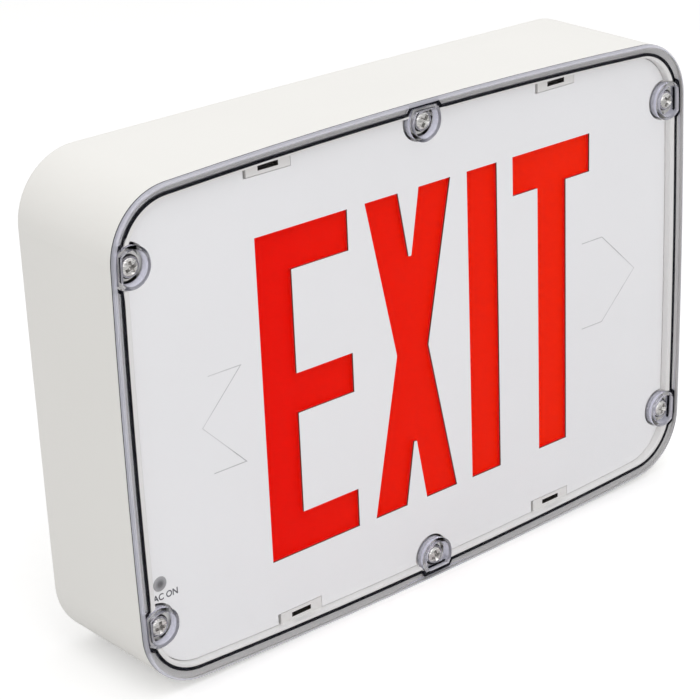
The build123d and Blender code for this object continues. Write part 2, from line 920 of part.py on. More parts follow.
def battery_clip():
    """Bent strap over the battery with a screwed foot at each end."""
    half = cell_radius * cell_count + battery_clearance + clip_thickness / 2
    foot_level = back_wall + clip_boss_height + clip_thickness / 2
    crown = back_wall + 2 * cell_radius + battery_clearance + clip_thickness / 2
    points = [
        (-half - clip_foot, foot_level),
        (-half, foot_level),
        (-half, crown),
        (half, crown),
        (half, foot_level),
        (half + clip_foot, foot_level),
    ]
    centre_line = FilletPolyline(*points, radius=clip_bend_radius)
    profile = trace(centre_line, clip_thickness)
    strap = Pos(battery_x, battery_y + clip_width / 2) * Rot(X=90) * extrude(profile, clip_width)
    for x, y in clip_feet():
        strap -= disc(x, y, small_hole_radius, 0, crown)
    return strap


def battery_clip_screws():
    level = back_wall + clip_boss_height + clip_thickness
    screw = small_screw(level - pilot_floor)
    return group(screw, [(x, y, level) for x, y in clip_feet()])


# Test switch
def test_switch():
    """Sealed switch: bezel outside, threaded neck through the wall, body inside."""
    body = switch_axis(bezel_radius, -bezel_height, 0)
    body = chamfer(body.faces().sort_by(Axis.Y)[0].edges(), bezel_height / 2)
    neck_end = switch_pad_wall + bush_length
    body += switch_axis(bush_radius, 0, neck_end)
    floor = switch_recess_depth - switch_wall()
    body += Pos(switch_x, floor + neck_end + switch_body_height / 2, switch_level) * Box(
        switch_body_size, switch_body_height, switch_body_size
    )
    button_back = button_length - button_proud - bezel_height
    bore_end = button_back + button_travel + button_end_clearance
    body -= switch_axis(button_radius + button_clearance, -bezel_height - cut_overrun, bore_end)
    return body


def test_switch_nut():
    floor = switch_recess_depth - switch_wall()
    shape = RegularPolygon(nut_across_flats / 2, 6, major_radius=False)
    shape -= Circle(bush_radius + bush_clearance)
    place = Pos(switch_x, floor + switch_pad_wall, switch_level) * Rot(X=-90)
    return place * extrude(shape, nut_height)


def test_button():
    start = -bezel_height - button_proud
    body = switch_axis(button_radius, start, start + button_length)
    return chamfer(body.edges().sort_by(Axis.Y)[0], button_edge)


pieces = {
    "housing": housing(),
    "wall_gasket": wall_gasket(),
    "cover_gasket": cover_gasket(),
    "lens_cover": lens_cover(),
    "cover_screws": cover_screws(),
    "screw_seals": screw_seals(),
    "face_plate": face_plate(),
    "indicator_lens": indicator_lens(),
    "indicator_led": indicator_led(),
    "red_diffuser": red_diffuser(),
    "reflector_tray": reflector_tray(),
    "tray_screws": tray_screws(),
    "led_board_upper": led_board(1),
    "led_board_lower": led_board(-1),
    "led_board_screws": led_board_screws(),
    "diodes": diodes(),
    "control_board": control_board(),
    "control_board_screws": control_board_screws(),
    "transformer_core": transformer_core(),
    "transformer_coil": transformer_coil(),
    "relay": relay(),
    "filter_capacitor": filter_capacitor(),
    "terminal_block": terminal_block(),
    "battery_socket": battery_socket(),
    "battery_pack": battery_pack(),
    "battery_clip": battery_clip(),
    "battery_clip_screws": battery_clip_screws(),
    "test_switch": test_switch(),
    "test_switch_nut": test_switch_nut(),
    "test_button": test_button(),
}

os.makedirs("parts", exist_ok=True)
upright = Rot(X=90)
for name, piece in pieces.items():
    export_step(upright * piece, f"parts/{name}.step")
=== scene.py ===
import math

import bmesh
import bpy
from bpy.props import FloatProperty, FloatVectorProperty, IntProperty, PointerProperty
from bpy.types import Operator, Panel, PropertyGroup
from mathutils import Matrix, Vector
from mathutils.bvhtree import BVHTree


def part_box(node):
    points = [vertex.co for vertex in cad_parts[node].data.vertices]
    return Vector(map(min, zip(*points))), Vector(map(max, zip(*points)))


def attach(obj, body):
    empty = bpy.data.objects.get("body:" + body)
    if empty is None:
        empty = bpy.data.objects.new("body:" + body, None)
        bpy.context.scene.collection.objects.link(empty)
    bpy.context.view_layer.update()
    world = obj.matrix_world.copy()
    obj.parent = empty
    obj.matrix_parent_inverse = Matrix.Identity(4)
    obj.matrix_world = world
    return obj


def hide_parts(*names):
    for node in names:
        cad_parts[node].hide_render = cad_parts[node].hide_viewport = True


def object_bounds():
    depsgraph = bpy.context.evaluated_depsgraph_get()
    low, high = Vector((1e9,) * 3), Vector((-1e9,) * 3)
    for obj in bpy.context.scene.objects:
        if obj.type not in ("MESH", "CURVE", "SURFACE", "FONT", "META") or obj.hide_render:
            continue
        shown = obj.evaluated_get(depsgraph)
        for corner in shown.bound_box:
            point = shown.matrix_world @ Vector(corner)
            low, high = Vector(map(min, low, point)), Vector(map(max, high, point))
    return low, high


bl_info = {
    "name": "Wet Location Exit Sign",
    "version": (1, 0, 0),
    "blender": (4, 5, 0),
    "location": "View3D > Sidebar > Exit Sign",
    "description": "Gives a wall-hung exit sign its finishes and small details, and sets up its picture",
    "category": "Object",
}

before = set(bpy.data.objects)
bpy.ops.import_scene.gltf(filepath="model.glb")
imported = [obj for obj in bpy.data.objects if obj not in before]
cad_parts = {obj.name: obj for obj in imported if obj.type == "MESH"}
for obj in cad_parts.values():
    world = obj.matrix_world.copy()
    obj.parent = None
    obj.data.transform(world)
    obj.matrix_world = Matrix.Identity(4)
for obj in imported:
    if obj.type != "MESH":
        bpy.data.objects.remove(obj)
cad_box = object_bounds()

BODY = "sign"
MM = 0.001

# Nodes that hold screws
COVER_SCREWS = "cover_screws"
INNER_SCREWS = ("tray_screws", "led_board_screws", "control_board_screws", "battery_clip_screws")


# Settings that a user would change


class SignColours(PropertyGroup):
    housing: FloatVectorProperty(
        name="Housing", description="Moulded case", subtype="COLOR", size=3, min=0, max=1,
        default=(0.81, 0.799, 0.772),
    )
    plate: FloatVectorProperty(
        name="Face plate", description="Stencil plate behind the cover", subtype="COLOR", size=3,
        min=0, max=1, default=(0.90, 0.90, 0.895),
    )
    red: FloatVectorProperty(
        name="Letters", description="Red sheet behind the letters", subtype="COLOR", size=3,
        min=0, max=1, default=(0.84, 0.004, 0.0),
    )
    red_dark: FloatVectorProperty(
        name="Letter grain", description="Darker specks in the red sheet", subtype="COLOR", size=3,
        min=0, max=1, default=(0.55, 0.002, 0.0),
    )
    red_warm: FloatVectorProperty(
        name="Letter glow", description="Warmer red towards the right", subtype="COLOR", size=3,
        min=0, max=1, default=(0.97, 0.022, 0.0),
    )
    cover: FloatVectorProperty(
        name="Cover", description="Tint of the clear cover where it is seen edge on",
        subtype="COLOR", size=3, min=0, max=1, default=(0.84, 0.84, 0.95),
    )
    # Colour of the painted dark lines at the cover's curved edges
    cover_painted_dark_edges: FloatVectorProperty(
        name="Cover lines", description="Dark lines where the cover's curved faces turn away",
        subtype="COLOR", size=3, min=0, max=1, default=(0.02, 0.02, 0.045),
    )
    seal: FloatVectorProperty(
        name="Seal", description="Ring under the cover's edge", subtype="COLOR", size=3, min=0,
        max=1, default=(0.006, 0.006, 0.010),
    )
    steel: FloatVectorProperty(
        name="Screws", description="Stainless screws of the cover", subtype="COLOR", size=3, min=0,
        max=1, default=(0.66, 0.65, 0.64),
    )
    label: FloatVectorProperty(
        name="Label", description="Small print under the indicator", subtype="COLOR", size=3,
        min=0, max=1, default=(0.10, 0.10, 0.11),
    )
    line: FloatVectorProperty(
        name="Arrow lines", description="Faint outlines of the arrows that can be broken out",
        subtype="COLOR", size=3, min=0, max=1, default=(0.46, 0.46, 0.46),
    )
    button: FloatVectorProperty(
        name="Test button", description="Button in the underside", subtype="COLOR", size=3, min=0,
        max=1, default=(0.55, 0.03, 0.02),
    )


class SignDetails(PropertyGroup):
    lip_height: FloatProperty(
        name="Lip height", description="How far the white edge stands up round the cover",
        default=3.5 * MM, unit="LENGTH",
    )
    lip_gap: FloatProperty(
        name="Lip gap", description="Width of the dark joint between the white edge and the cover",
        default=0.55 * MM, unit="LENGTH",
    )
    bead_contact: FloatProperty(
        name="Bead contact", description="How far down the skirt the seal presses on it",
        default=1.5 * MM, unit="LENGTH",
    )
    bead_gap: FloatProperty(
        name="Bead gap", description="From the crown of the seal to the cover above it",
        default=0.05 * MM, unit="LENGTH",
    )
    recess_depth: FloatProperty(
        name="Recess depth", description="Depth of the cross in a cover screw",
        default=2.0 * MM, unit="LENGTH",
    )
    recess_reach: FloatProperty(
        name="Recess reach", description="Length of the cross in a cover screw",
        default=6.2 * MM, unit="LENGTH",
    )
    recess_width: FloatProperty(
        name="Recess width", description="Width of one arm of the cross", default=1.8 * MM,
        unit="LENGTH",
    )
    thread_pitch: FloatProperty(
        name="Thread pitch", description="Rise of the cover screws' thread in one turn",
        default=1.6 * MM, unit="LENGTH",
    )
    turn_seed: IntProperty(
        name="Turn seed", description="Sets how far each screw is turned", default=7,
    )
    label_height: FloatProperty(
        name="Label height", description="Height of the capitals under the indicator",
        default=3.2 * MM, unit="LENGTH",
    )
    label_width: FloatProperty(
        name="Label width", description="Length of the label", default=13.0 * MM, unit="LENGTH",
    )
    label_weight: FloatProperty(
        name="Label weight", description="How much the label's strokes are thickened, in letter heights",
        default=0.022, min=0,
    )
    label_drop: FloatProperty(
        name="Label drop", description="From the indicator's centre down to the label's centre",
        default=6.2 * MM, unit="LENGTH",
    )
    line_width: FloatProperty(
        name="Line width", description="Width of the arrow lines", default=0.42 * MM, unit="LENGTH",
    )
    print_height: FloatProperty(
        name="Print height", description="How far print and lines stand off the plate",
        default=0.02 * MM, unit="LENGTH",
    )


class SignStage(PropertyGroup):
    camera_place: FloatVectorProperty(
        name="Camera place", description="Where the camera stands", subtype="TRANSLATION", size=3,
        default=(-0.61082, -0.74292, 0.37478), unit="LENGTH",
    )
    heading: FloatProperty(
        name="Heading", description="Turn of the view from straight on", unit="ROTATION",
        default=math.radians(39.894),
    )
    tilt: FloatProperty(
        name="Tilt", description="How far the camera looks down", unit="ROTATION",
        default=math.radians(22.40),
    )
    roll: FloatProperty(
        name="Roll", description="Turn of the picture", unit="ROTATION",
        default=math.radians(-2.415),
    )
    lens: FloatProperty(
        name="Lens", description="Focal length on a 36 mm sensor", default=111.26, min=1.0,
    )
    floor_size: FloatProperty(
        name="Floor size", description="Side of the floor", default=12.0, unit="LENGTH",
    )
    top_light: FloatProperty(
        name="Top light", description="Strength of the soft light overhead", default=10.4,
        unit="POWER",
    )
    front_light: FloatProperty(
        name="Front light", description="Strength of the soft light in front", default=7.6,
        unit="POWER",
    )
    sky: FloatProperty(
        name="Room light", description="Strength of the even light all round", default=0.74, min=0,
    )
    floor_lift: FloatProperty(
        name="Floor lift", description="Brightness added to the floor for the camera alone",
        default=0.30, min=0,
    )


# Material building blocks


class Paint:
    """A material with a Principled shader, and short ways to wire textures into it."""

    def __init__(self, name, colour, roughness, metallic=0.0, specular=0.5):
        self.material = bpy.data.materials.new(name)
        self.material.use_nodes = True
        self.material.diffuse_color = (*colour, 1)
        self.tree = self.material.node_tree
        self.tree.nodes.clear()
        self.output = self.node("ShaderNodeOutputMaterial")
        self.shader = self.node("ShaderNodeBsdfPrincipled")
        self.set(self.shader, "Base Color", (*colour, 1))
        self.set(self.shader, "Roughness", roughness)
        self.set(self.shader, "Metallic", metallic)
        self.set(self.shader, "Specular IOR Level", specular)
        self.link(self.shader, "BSDF", self.output, "Surface")
        self.coordinates = self.node("ShaderNodeTexCoord")

    def node(self, kind, **settings):
        made = self.tree.nodes.new(kind)
        for key, value in settings.items():
            setattr(made, key, value)
        return made

    def set(self, node, socket, value):
        node.inputs[socket].default_value = value

    def link(self, source, output, target, socket):
        self.tree.links.new(source.outputs[output], target.inputs[socket])

    def place(self, scale=(1, 1, 1), turn=(0, 0, 0), move=(0, 0, 0)):
        """Object coordinates, moved, turned and stretched."""
        mapping = self.node("ShaderNodeMapping")
        self.set(mapping, "Location", move)
        self.set(mapping, "Rotation", turn)
        self.set(mapping, "Scale", scale)
        self.link(self.coordinates, "Object", mapping, "Vector")
        return mapping

    def noise(self, scale, detail=3.0, roughness=0.5, place=None):
        texture = self.node("ShaderNodeTexNoise")
        self.set(texture, "Scale", scale)
        self.set(texture, "Detail", detail)
        self.set(texture, "Roughness", roughness)
        if place:
            self.link(place, "Vector", texture, "Vector")
        else:
            self.link(self.coordinates, "Object", texture, "Vector")
        return texture

    def cells(self, scale, place=None):
        texture = self.node("ShaderNodeTexVoronoi")
        self.set(texture, "Scale", scale)
        source = (place, "Vector") if place else (self.coordinates, "Object")
        self.link(*source, texture, "Vector")
        return texture

    def bands(self, scale, direction, place=None):
        texture = self.node("ShaderNodeTexWave", bands_direction=direction)
        self.set(texture, "Scale", scale)
        source = (place, "Vector") if place else (self.coordinates, "Object")
        self.link(*source, texture, "Vector")
        return texture

    def blend(self, source, output, low, high, dark, light):
        """Colours between dark and light as the texture goes from low to high."""
        ramp = self.node("ShaderNodeValToRGB")
        ramp.color_ramp.elements[0].position = low
        ramp.color_ramp.elements[0].color = (*dark, 1)
        ramp.color_ramp.elements[1].position = high
        ramp.color_ramp.elements[1].color = (*light, 1)
        self.link(source, output, ramp, "Fac")
        return ramp

    def tint(self, source, output, low, high, dark, light):
        ramp = self.blend(source, output, low, high, dark, light)
        self.link(ramp, "Color", self.shader, "Base Color")
        return ramp

    def gloss(self, source, output, smooth, rough):
        """Roughness between two values with the texture."""
        span = self.node("ShaderNodeMapRange")
        self.set(span, "To Min", smooth)
        self.set(span, "To Max", rough)
        self.link(source, output, span, "Value")
        self.link(span, "Result", self.shader, "Roughness")

    def relief(self, source, output, height, strength=1.0, under=None):
        """Bump of a height in metres, on top of an earlier one if there is one."""
        bump = self.node("ShaderNodeBump")
        self.set(bump, "Strength", strength)
        self.set(bump, "Distance", height)
        self.link(source, output, bump, "Height")
        if under:
            self.link(under, "Normal", bump, "Normal")
        self.link(bump, "Normal", self.shader, "Normal")
        return bump

    def within(self, middle, half, mirrored=""):
        """1 inside a box of object coordinates; an axis named in mirrored counts on both sides."""
        parts = self.node("ShaderNodeSeparateXYZ")
        self.link(self.coordinates, "Object", parts, "Vector")
        whole = None
        for axis, centre, reach in zip("XYZ", middle, half):
            source, output = parts, axis
            if axis in mirrored:
                source, output = self.node("ShaderNodeMath", operation="ABSOLUTE"), "Value"
                self.link(parts, axis, source, 0)
            near = self.node("ShaderNodeMath", operation="COMPARE")
            self.link(source, output, near, 0)
            self.set(near, 1, centre)
            self.set(near, 2, reach)
            whole = self.both(whole, near) if whole else near
        return whole

    def both(self, first, second):
        """1 where both masks are."""
        product = self.node("ShaderNodeMath", operation="MULTIPLY")
        self.link(first, "Value", product, 0)
        self.link(second, "Value", product, 1)
        return product

    def upright(self):
        """1 on faces that stand square to the front."""
        parts = self.node("ShaderNodeSeparateXYZ")
        self.link(self.coordinates, "Normal", parts, "Vector")
        size = self.node("ShaderNodeMath", operation="ABSOLUTE")
        self.link(parts, "Y", size, 0)
        low = self.node("ShaderNodeMath", operation="LESS_THAN")
        self.link(size, "Value", low, 0)
        self.set(low, 1, 0.5)
        return low

    def paint_light_and_shade(self, mask, colour):
        """The colour over the base colour where the mask is 1: the way painted shade and painted light
        are laid on.
        """
        mix = self.node("ShaderNodeMix", data_type="RGBA")
        under = self.shader.inputs["Base Color"].links[0].from_socket
        self.link(mask, "Value", mix, "Factor")
        self.tree.links.new(under, mix.inputs[6])
        mix.inputs[7].default_value = (*colour, 1)
        self.tree.links.new(mix.outputs[2], self.shader.inputs["Base Color"])

    def mix_shaders(self, factor, output, first, second):
        """The first shader where the factor is 0 and the second where it is 1."""
        mix = self.node("ShaderNodeMixShader")
        self.link(factor, output, mix, "Fac")
        self.tree.links.new(first.outputs[0], mix.inputs[1])
        self.tree.links.new(second.outputs[0], mix.inputs[2])
        return mix


def shade(colour, factor):
    return tuple(min(1.0, channel * factor) for channel in colour)


def moulded(name, colour, roughness, grain, grain_height, mottling=0.03):
    """Moulded plastic: faint cloudy colour, uneven gloss and a fine grain."""
    paint = Paint(name, colour, roughness)
    clouds = paint.noise(9.0, 2.0)
    paint.tint(clouds, "Fac", 0.3, 0.7, shade(colour, 1 - mottling), shade(colour, 1 + mottling / 2))
    paint.gloss(paint.noise(35.0, 4.0), "Fac", roughness - 0.06, roughness + 0.06)
    paint.relief(paint.noise(grain, 2.0), "Fac", grain_height)
    return paint


def darken_slots(paint):
    """Shade inside the four slots where the plate's latches catch."""
    for across in (85.0, 80.0):
        slot = paint.within(
            (across * MM, plate_front() + 2.1 * MM, 105.85 * MM), (5.6 * MM, 1.95 * MM, 1.25 * MM), "XZ"
        )
        paint.paint_light_and_shade(slot, (0.035, 0.03, 0.025))


def housing_white(colours):
    paint = moulded("housing_white", colours.housing, 0.40, 2200.0, 0.00002, 0.02)
    paint.set(paint.shader, "Coat Weight", 0.05)
    darken_slots(paint)
    return paint.material


def plate_white(colours):
    """White sheet whose cut letter edges carry painted red light from the sheet behind them and end in a
    painted shadow line at the front.
    """
    paint = moulded("plate_white", colours.plate, 0.50, 3000.0, 0.000015, 0.015)
    low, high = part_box("red_diffuser")
    middle = (low + high) / 2
    half = (high - low) / 2
    sides = paint.upright()
    # Painted light: upright cut walls near the red sheet are coloured red, for the red light the sheet
    # throws on them.
    glow = paint.within((middle.x, plate_front() + 1.1 * MM, middle.z), (half.x, 1.2 * MM, half.z))
    # Painted shadow: the cut walls at the plate's front get a near black line.
    line = paint.within((middle.x, plate_front(), middle.z), (half.x, 0.8 * MM, half.z))
    paint.paint_light_and_shade(paint.both(sides, glow), colours.red)
    paint.paint_light_and_shade(paint.both(sides, line), (0.045, 0.05, 0.02))
    darken_slots(paint)
    return paint.material


def tray_white(colours):
    return moulded("tray_white", (0.86, 0.86, 0.86), 0.32, 1500.0, 0.00001).material


def diffuser_red(colours):
    """Red translucent sheet with a fine dark grain, warmer and brighter towards the right, and a painted
    glow.
    """
    paint = Paint("diffuser_red", colours.red, 0.5, specular=0.03)
    grain = paint.noise(1100.0, 3.0, 0.7)
    low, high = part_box("red_diffuser")
    across = paint.node("ShaderNodeSeparateXYZ")
    paint.link(paint.coordinates, "Object", across, "Vector")
    share = paint.node("ShaderNodeMapRange")
    paint.set(share, "From Min", low.x)
    paint.set(share, "From Max", high.x)
    paint.link(across, "X", share, "Value")
    ground = paint.blend(share, "Result", 0.15, 0.95, colours.red, colours.red_warm)
    fleck = paint.blend(grain, "Fac", 0.36, 0.58, (0, 0, 0), (1, 1, 1))
    mix = paint.node("ShaderNodeMix", data_type="RGBA")
    paint.link(fleck, "Color", mix, "Factor")
    mix.inputs[6].default_value = (*colours.red_dark, 1)
    paint.tree.links.new(ground.outputs["Color"], mix.inputs[7])
    paint.tree.links.new(mix.outputs[2], paint.shader.inputs["Base Color"])
    # Painted glow: the sheet gives off its own red as light, as if lit from behind, though no lamp lights
    # it.
    paint.tree.links.new(mix.outputs[2], paint.shader.inputs["Emission Color"])
    paint.set(paint.shader, "Emission Strength", 0.22)
    paint.gloss(paint.noise(500.0, 2.0), "Fac", 0.4, 0.6)
    paint.relief(grain, "Fac", 0.00005)
    return paint.material


def clear_cover(colours):
    """Polished clear plastic, faintly blue where it is deep, whose flat faces mirror only a little, with
    painted dark lines where its curved faces turn away.

    Lamp light and the light between the pieces pass straight through it.
    """
    paint = Paint("cover_clear", colours.cover, 0.0)
    paint.set(paint.shader, "Transmission Weight", 0.62)
    paint.set(paint.shader, "IOR", 1.5)
    paint.relief(paint.noise(14.0, 2.0), "Fac", 0.00004, 0.4)
    # Painted dark edges: where the curved faces turn away from the view the colour goes near black, in
    # place of the dark lines that refraction and reflection draw at the real cover's edges.
    turned = paint.node("ShaderNodeLayerWeight")
    paint.set(turned, "Blend", 0.5)
    paint.tint(turned, "Facing", 0.84, 0.98, colours.cover, colours.cover_painted_dark_edges)
    depth = paint.node("ShaderNodeVolumeAbsorption")
    paint.set(depth, "Color", (0.55, 0.57, 0.80, 1))
    paint.set(depth, "Density", 14.0)
    paint.link(depth, "Volume", paint.output, "Volume")

    clear = paint.node("ShaderNodeBsdfTransparent")
    paint.set(clear, "Color", (0.97, 0.97, 0.972, 1))
    bend = paint.node("ShaderNodeBsdfRefraction")
    paint.set(bend, "Color", (0.985, 0.985, 0.988, 1))
    paint.set(bend, "Roughness", 0.0)
    paint.set(bend, "IOR", 1.4)
    mirror = paint.node("ShaderNodeBsdfPrincipled")
    paint.set(mirror, "Base Color", (0.95, 0.96, 1.0, 1))
    paint.set(mirror, "Metallic", 1.0)
    paint.set(mirror, "Roughness", 0.03)
    rise = paint.node("ShaderNodeFresnel")
    paint.set(rise, "IOR", 1.08)
    sheet = paint.mix_shaders(rise, "Fac", bend, mirror)

    facing = paint.node("ShaderNodeSeparateXYZ")
    paint.link(paint.coordinates, "Normal", facing, "Vector")
    size = paint.node("ShaderNodeMath", operation="ABSOLUTE")
    paint.link(facing, "Y", size, 0)
    flat = paint.node("ShaderNodeMath", operation="GREATER_THAN")
    paint.link(size, "Value", flat, 0)
    paint.set(flat, 1, 0.995)
    solid = paint.mix_shaders(flat, "Value", paint.shader, sheet)

    path = paint.node("ShaderNodeLightPath")
    either = paint.node("ShaderNodeMath", operation="MAXIMUM")
    paint.link(path, "Is Shadow Ray", either, 0)
    paint.link(path, "Is Diffuse Ray", either, 1)
    whole = paint.mix_shaders(either, "Value", solid, clear)
    paint.link(whole, "Shader", paint.output, "Surface")
    return paint.material


def silicone(name, colour):
    paint = Paint(name, colour, 0.38, specular=0.12)
    paint.gloss(paint.noise(220.0, 3.0), "Fac", 0.3, 0.5)
    paint.relief(paint.noise(900.0, 2.0), "Fac", 0.00003)
    return paint.material


def foam_black(colours):
    """Closed-cell foam with open pores at the cut faces."""
    paint = Paint("foam_black", (0.025, 0.025, 0.026), 0.9, specular=0.2)
    pores = paint.cells(900.0)
    paint.tint(pores, "Distance", 0.0, 0.6, (0.012, 0.012, 0.012), (0.045, 0.045, 0.046))
    paint.relief(pores, "Distance", 0.0002)
    return paint.material


def bright_steel(name, colour, roughness, line_and_reflection_contrast=0.12):
    """Turned or rolled bright metal with fine drawn lines; a high contrast also paints bright and dark
    reflection patches into its colour.
    """
    paint = Paint(name, colour, roughness, metallic=1.0)
    lines = paint.noise(600.0, 3.0, 0.6, paint.place(scale=(1, 1, 6)))
    paint.tint(lines, "Fac", 0.3, 0.7, shade(colour, 1 - line_and_reflection_contrast), shade(colour, 1 + line_and_reflection_contrast / 2))
    paint.gloss(lines, "Fac", roughness - 0.06, roughness + 0.1)
    paint.relief(lines, "Fac", 0.00001)
    return paint.material


def window_grey(colours):
    """Frosted round window in front of the lamp, darker towards its middle."""
    low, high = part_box("indicator_lens")
    middle = (low + high) / 2
    paint = Paint("window_grey", (0.33, 0.33, 0.335), 0.35)
    place = paint.place(move=(-middle.x, 0, -middle.z))
    flat = paint.node("ShaderNodeVectorMath", operation="MULTIPLY")
    paint.set(flat, 1, (1, 0, 1))
    paint.link(place, "Vector", flat, 0)
    reach = paint.node("ShaderNodeVectorMath", operation="LENGTH")
    paint.link(flat, "Vector", reach, 0)
    share = paint.node("ShaderNodeMath", operation="DIVIDE")
    paint.link(reach, "Value", share, 0)
    paint.set(share, 1, (high.x - low.x) / 2)
    ramp = paint.tint(share, "Value", 0.25, 0.95, (0.13, 0.13, 0.135), (0.42, 0.42, 0.425))
    middle_stop = ramp.color_ramp.elements.new(0.6)
    middle_stop.color = (0.30, 0.30, 0.305, 1)
    paint.relief(paint.cells(2500.0), "Distance", 0.00003)
    return paint.material


def lamp_clear(colours):
    paint = Paint("lamp_clear", (0.78, 0.78, 0.74), 0.12)
    paint.set(paint.shader, "Transmission Weight", 0.85)
    paint.set(paint.shader, "IOR", 1.5)
    paint.gloss(paint.noise(300.0), "Fac", 0.08, 0.2)
    return paint.material


def board(name, mask, trace):
    """Circuit board: the mask's colour with paler tracks under it and a faint weave."""
    paint = Paint(name, mask, 0.35)
    tracks = paint.node("ShaderNodeTexBrick")
    place = paint.place(scale=(1, 1, 1), turn=(math.pi / 2, 0, 0))
    paint.link(place, "Vector", tracks, "Vector")
    paint.set(tracks, "Scale", 60.0)
    paint.set(tracks, "Mortar Size", 0.035)
    paint.set(tracks, "Color1", (*mask, 1))
    paint.set(tracks, "Color2", (*shade(mask, 0.85), 1))
    paint.set(tracks, "Mortar", (*trace, 1))
    paint.link(tracks, "Color", paint.shader, "Base Color")
    weave = paint.noise(1800.0, 2.0)
    paint.relief(weave, "Fac", 0.00001)
    return paint.material


def diode_red(colours):
    paint = Paint("diode_red", (0.72, 0.10, 0.05), 0.15)
    paint.set(paint.shader, "Transmission Weight", 0.3)
    depth = paint.noise(400.0, 2.0)
    paint.tint(depth, "Fac", 0.3, 0.7, (0.55, 0.05, 0.03), (0.85, 0.16, 0.08))
    return paint.material


def core_steel(colours):
    """Stacked steel sheets under varnish."""
    colour = (0.16, 0.16, 0.165)
    paint = Paint("core_steel", colour, 0.42, metallic=0.8)
    sheets = paint.bands(320.0, "Y")
    paint.tint(sheets, "Fac", 0.2, 0.8, shade(colour, 0.5), shade(colour, 1.3))
    paint.relief(sheets, "Fac", 0.00005)
    return paint.material


def coil_copper(colours):
    """Winding seen through amber tape."""
    colour = (0.62, 0.36, 0.08)
    paint = Paint("coil_copper", colour, 0.25)
    turns = paint.bands(420.0, "Z")
    paint.tint(turns, "Fac", 0.1, 0.9, shade(colour, 0.55), shade(colour, 1.25))
    paint.relief(turns, "Fac", 0.00006)
    paint.set(paint.shader, "Coat Weight", 0.5)
    paint.set(paint.shader, "Coat Roughness", 0.15)
    return paint.material


def relay_case(colours):
    return moulded("relay_case", (0.02, 0.022, 0.026), 0.25, 1200.0, 0.00001).material


def capacitor_sleeve(colours):
    """Dark sleeve with the bare metal lid showing at the top."""
    low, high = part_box("filter_capacitor")
    paint = Paint("capacitor_sleeve", (0.03, 0.045, 0.12), 0.25)
    along = paint.node("ShaderNodeSeparateXYZ")
    paint.link(paint.coordinates, "Object", along, "Vector")
    lid = paint.node("ShaderNodeMath", operation="LESS_THAN")
    paint.link(along, "Y", lid, 0)
    paint.set(lid, 1, low.y + 0.9 * MM)
    paint.tint(lid, "Value", 0.4, 0.6, (0.03, 0.045, 0.12), (0.6, 0.6, 0.6))
    paint.link(lid, "Value", paint.shader, "Metallic")
    paint.relief(paint.noise(700.0), "Fac", 0.00002)
    return paint.material


def terminal_green(colours):
    return moulded("terminal_green", (0.05, 0.30, 0.13), 0.4, 1500.0, 0.00001).material


def socket_cream(colours):
    return moulded("socket_cream", (0.72, 0.66, 0.50), 0.45, 1500.0, 0.00001).material


def battery_wrap(colours):
    """Thin shrink wrap, drawn tight, with faint creases along the cells."""
    colour = (0.05, 0.16, 0.42)
    paint = Paint("battery_wrap", colour, 0.2)
    creases = paint.noise(70.0, 4.0, 0.6, paint.place(scale=(1, 1, 0.25)))
    paint.tint(creases, "Fac", 0.3, 0.7, shade(colour, 0.8), shade(colour, 1.15))
    paint.relief(creases, "Fac", 0.0002)
    return paint.material


def switch_black(colours):
    return moulded("switch_black", (0.02, 0.02, 0.02), 0.4, 1500.0, 0.00001).material


def button_red(colours):
    return moulded("button_red", colours.button, 0.22, 900.0, 0.000008).material


def print_grey(colours):
    paint = Paint("print_grey", colours.label, 0.6, specular=0.3)
    ink = paint.noise(1500.0, 3.0)
    paint.tint(ink, "Fac", 0.25, 0.75, shade(colours.label, 0.8), shade(colours.label, 1.5))
    return paint.material


def arrow_line(colours):
    """Faint witness line that comes and goes along its length."""
    paint = Paint("arrow_line", colours.line, 0.6)
    fade = paint.noise(60.0, 3.0)
    paint.tint(fade, "Fac", 0.35, 0.65, colours.line, shade(colours.plate, 0.78))
    return paint.material


def dress(node, material):
    """Gives a carried-over node its finish."""
    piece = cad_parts[node]
    piece.data.materials.clear()
    piece.data.materials.append(material)
    return piece


# Mesh building blocks


def mesh_object(name, vertices, faces, material=None):
    mesh = bpy.data.meshes.new(name)
    mesh.from_pydata(vertices, [], faces)
    mesh.validate()
    mesh.update()
    made = bpy.data.objects.new(name, mesh)
    bpy.context.scene.collection.objects.link(made)
    if material:
        mesh.materials.append(material)
    return made


def settle(piece, body=BODY, replaced=()):
    """Ties a finished piece to its body and hides the nodes it stands for."""
    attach(piece, body)
    if replaced:
        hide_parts(*replaced)
    return piece


def baked(piece, name):
    """Plain mesh of a piece with its modifiers applied, as a new object at the origin."""
    graph = bpy.context.evaluated_depsgraph_get()
    mesh = bpy.data.meshes.new_from_object(piece.evaluated_get(graph))
    mesh.name = name
    bpy.data.objects.remove(piece)
    made = bpy.data.objects.new(name, mesh)
    bpy.context.scene.collection.objects.link(made)
    return made


def merged(node):
    """A node's mesh with its triangles joined up, for a detailed piece to start from."""
    work = bmesh.new()
    work.from_mesh(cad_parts[node].data)
    bmesh.ops.remove_doubles(work, verts=work.verts, dist=1e-6)
    return work


def split(work, place, normal):
    """Adds edges where a plane crosses the mesh."""
    geometry = work.verts[:] + work.edges[:] + work.faces[:]
    bmesh.ops.bisect_plane(work, geom=geometry, plane_co=place, plane_no=normal, dist=1e-7)


def finished(work, name, *materials):
    """The worked mesh as a new object at the origin."""
    mesh = bpy.data.meshes.new(name)
    work.to_mesh(mesh)
    work.free()
    for material in materials:
        mesh.materials.append(material)
    made = bpy.data.objects.new(name, mesh)
    bpy.context.scene.collection.objects.link(made)
    return made


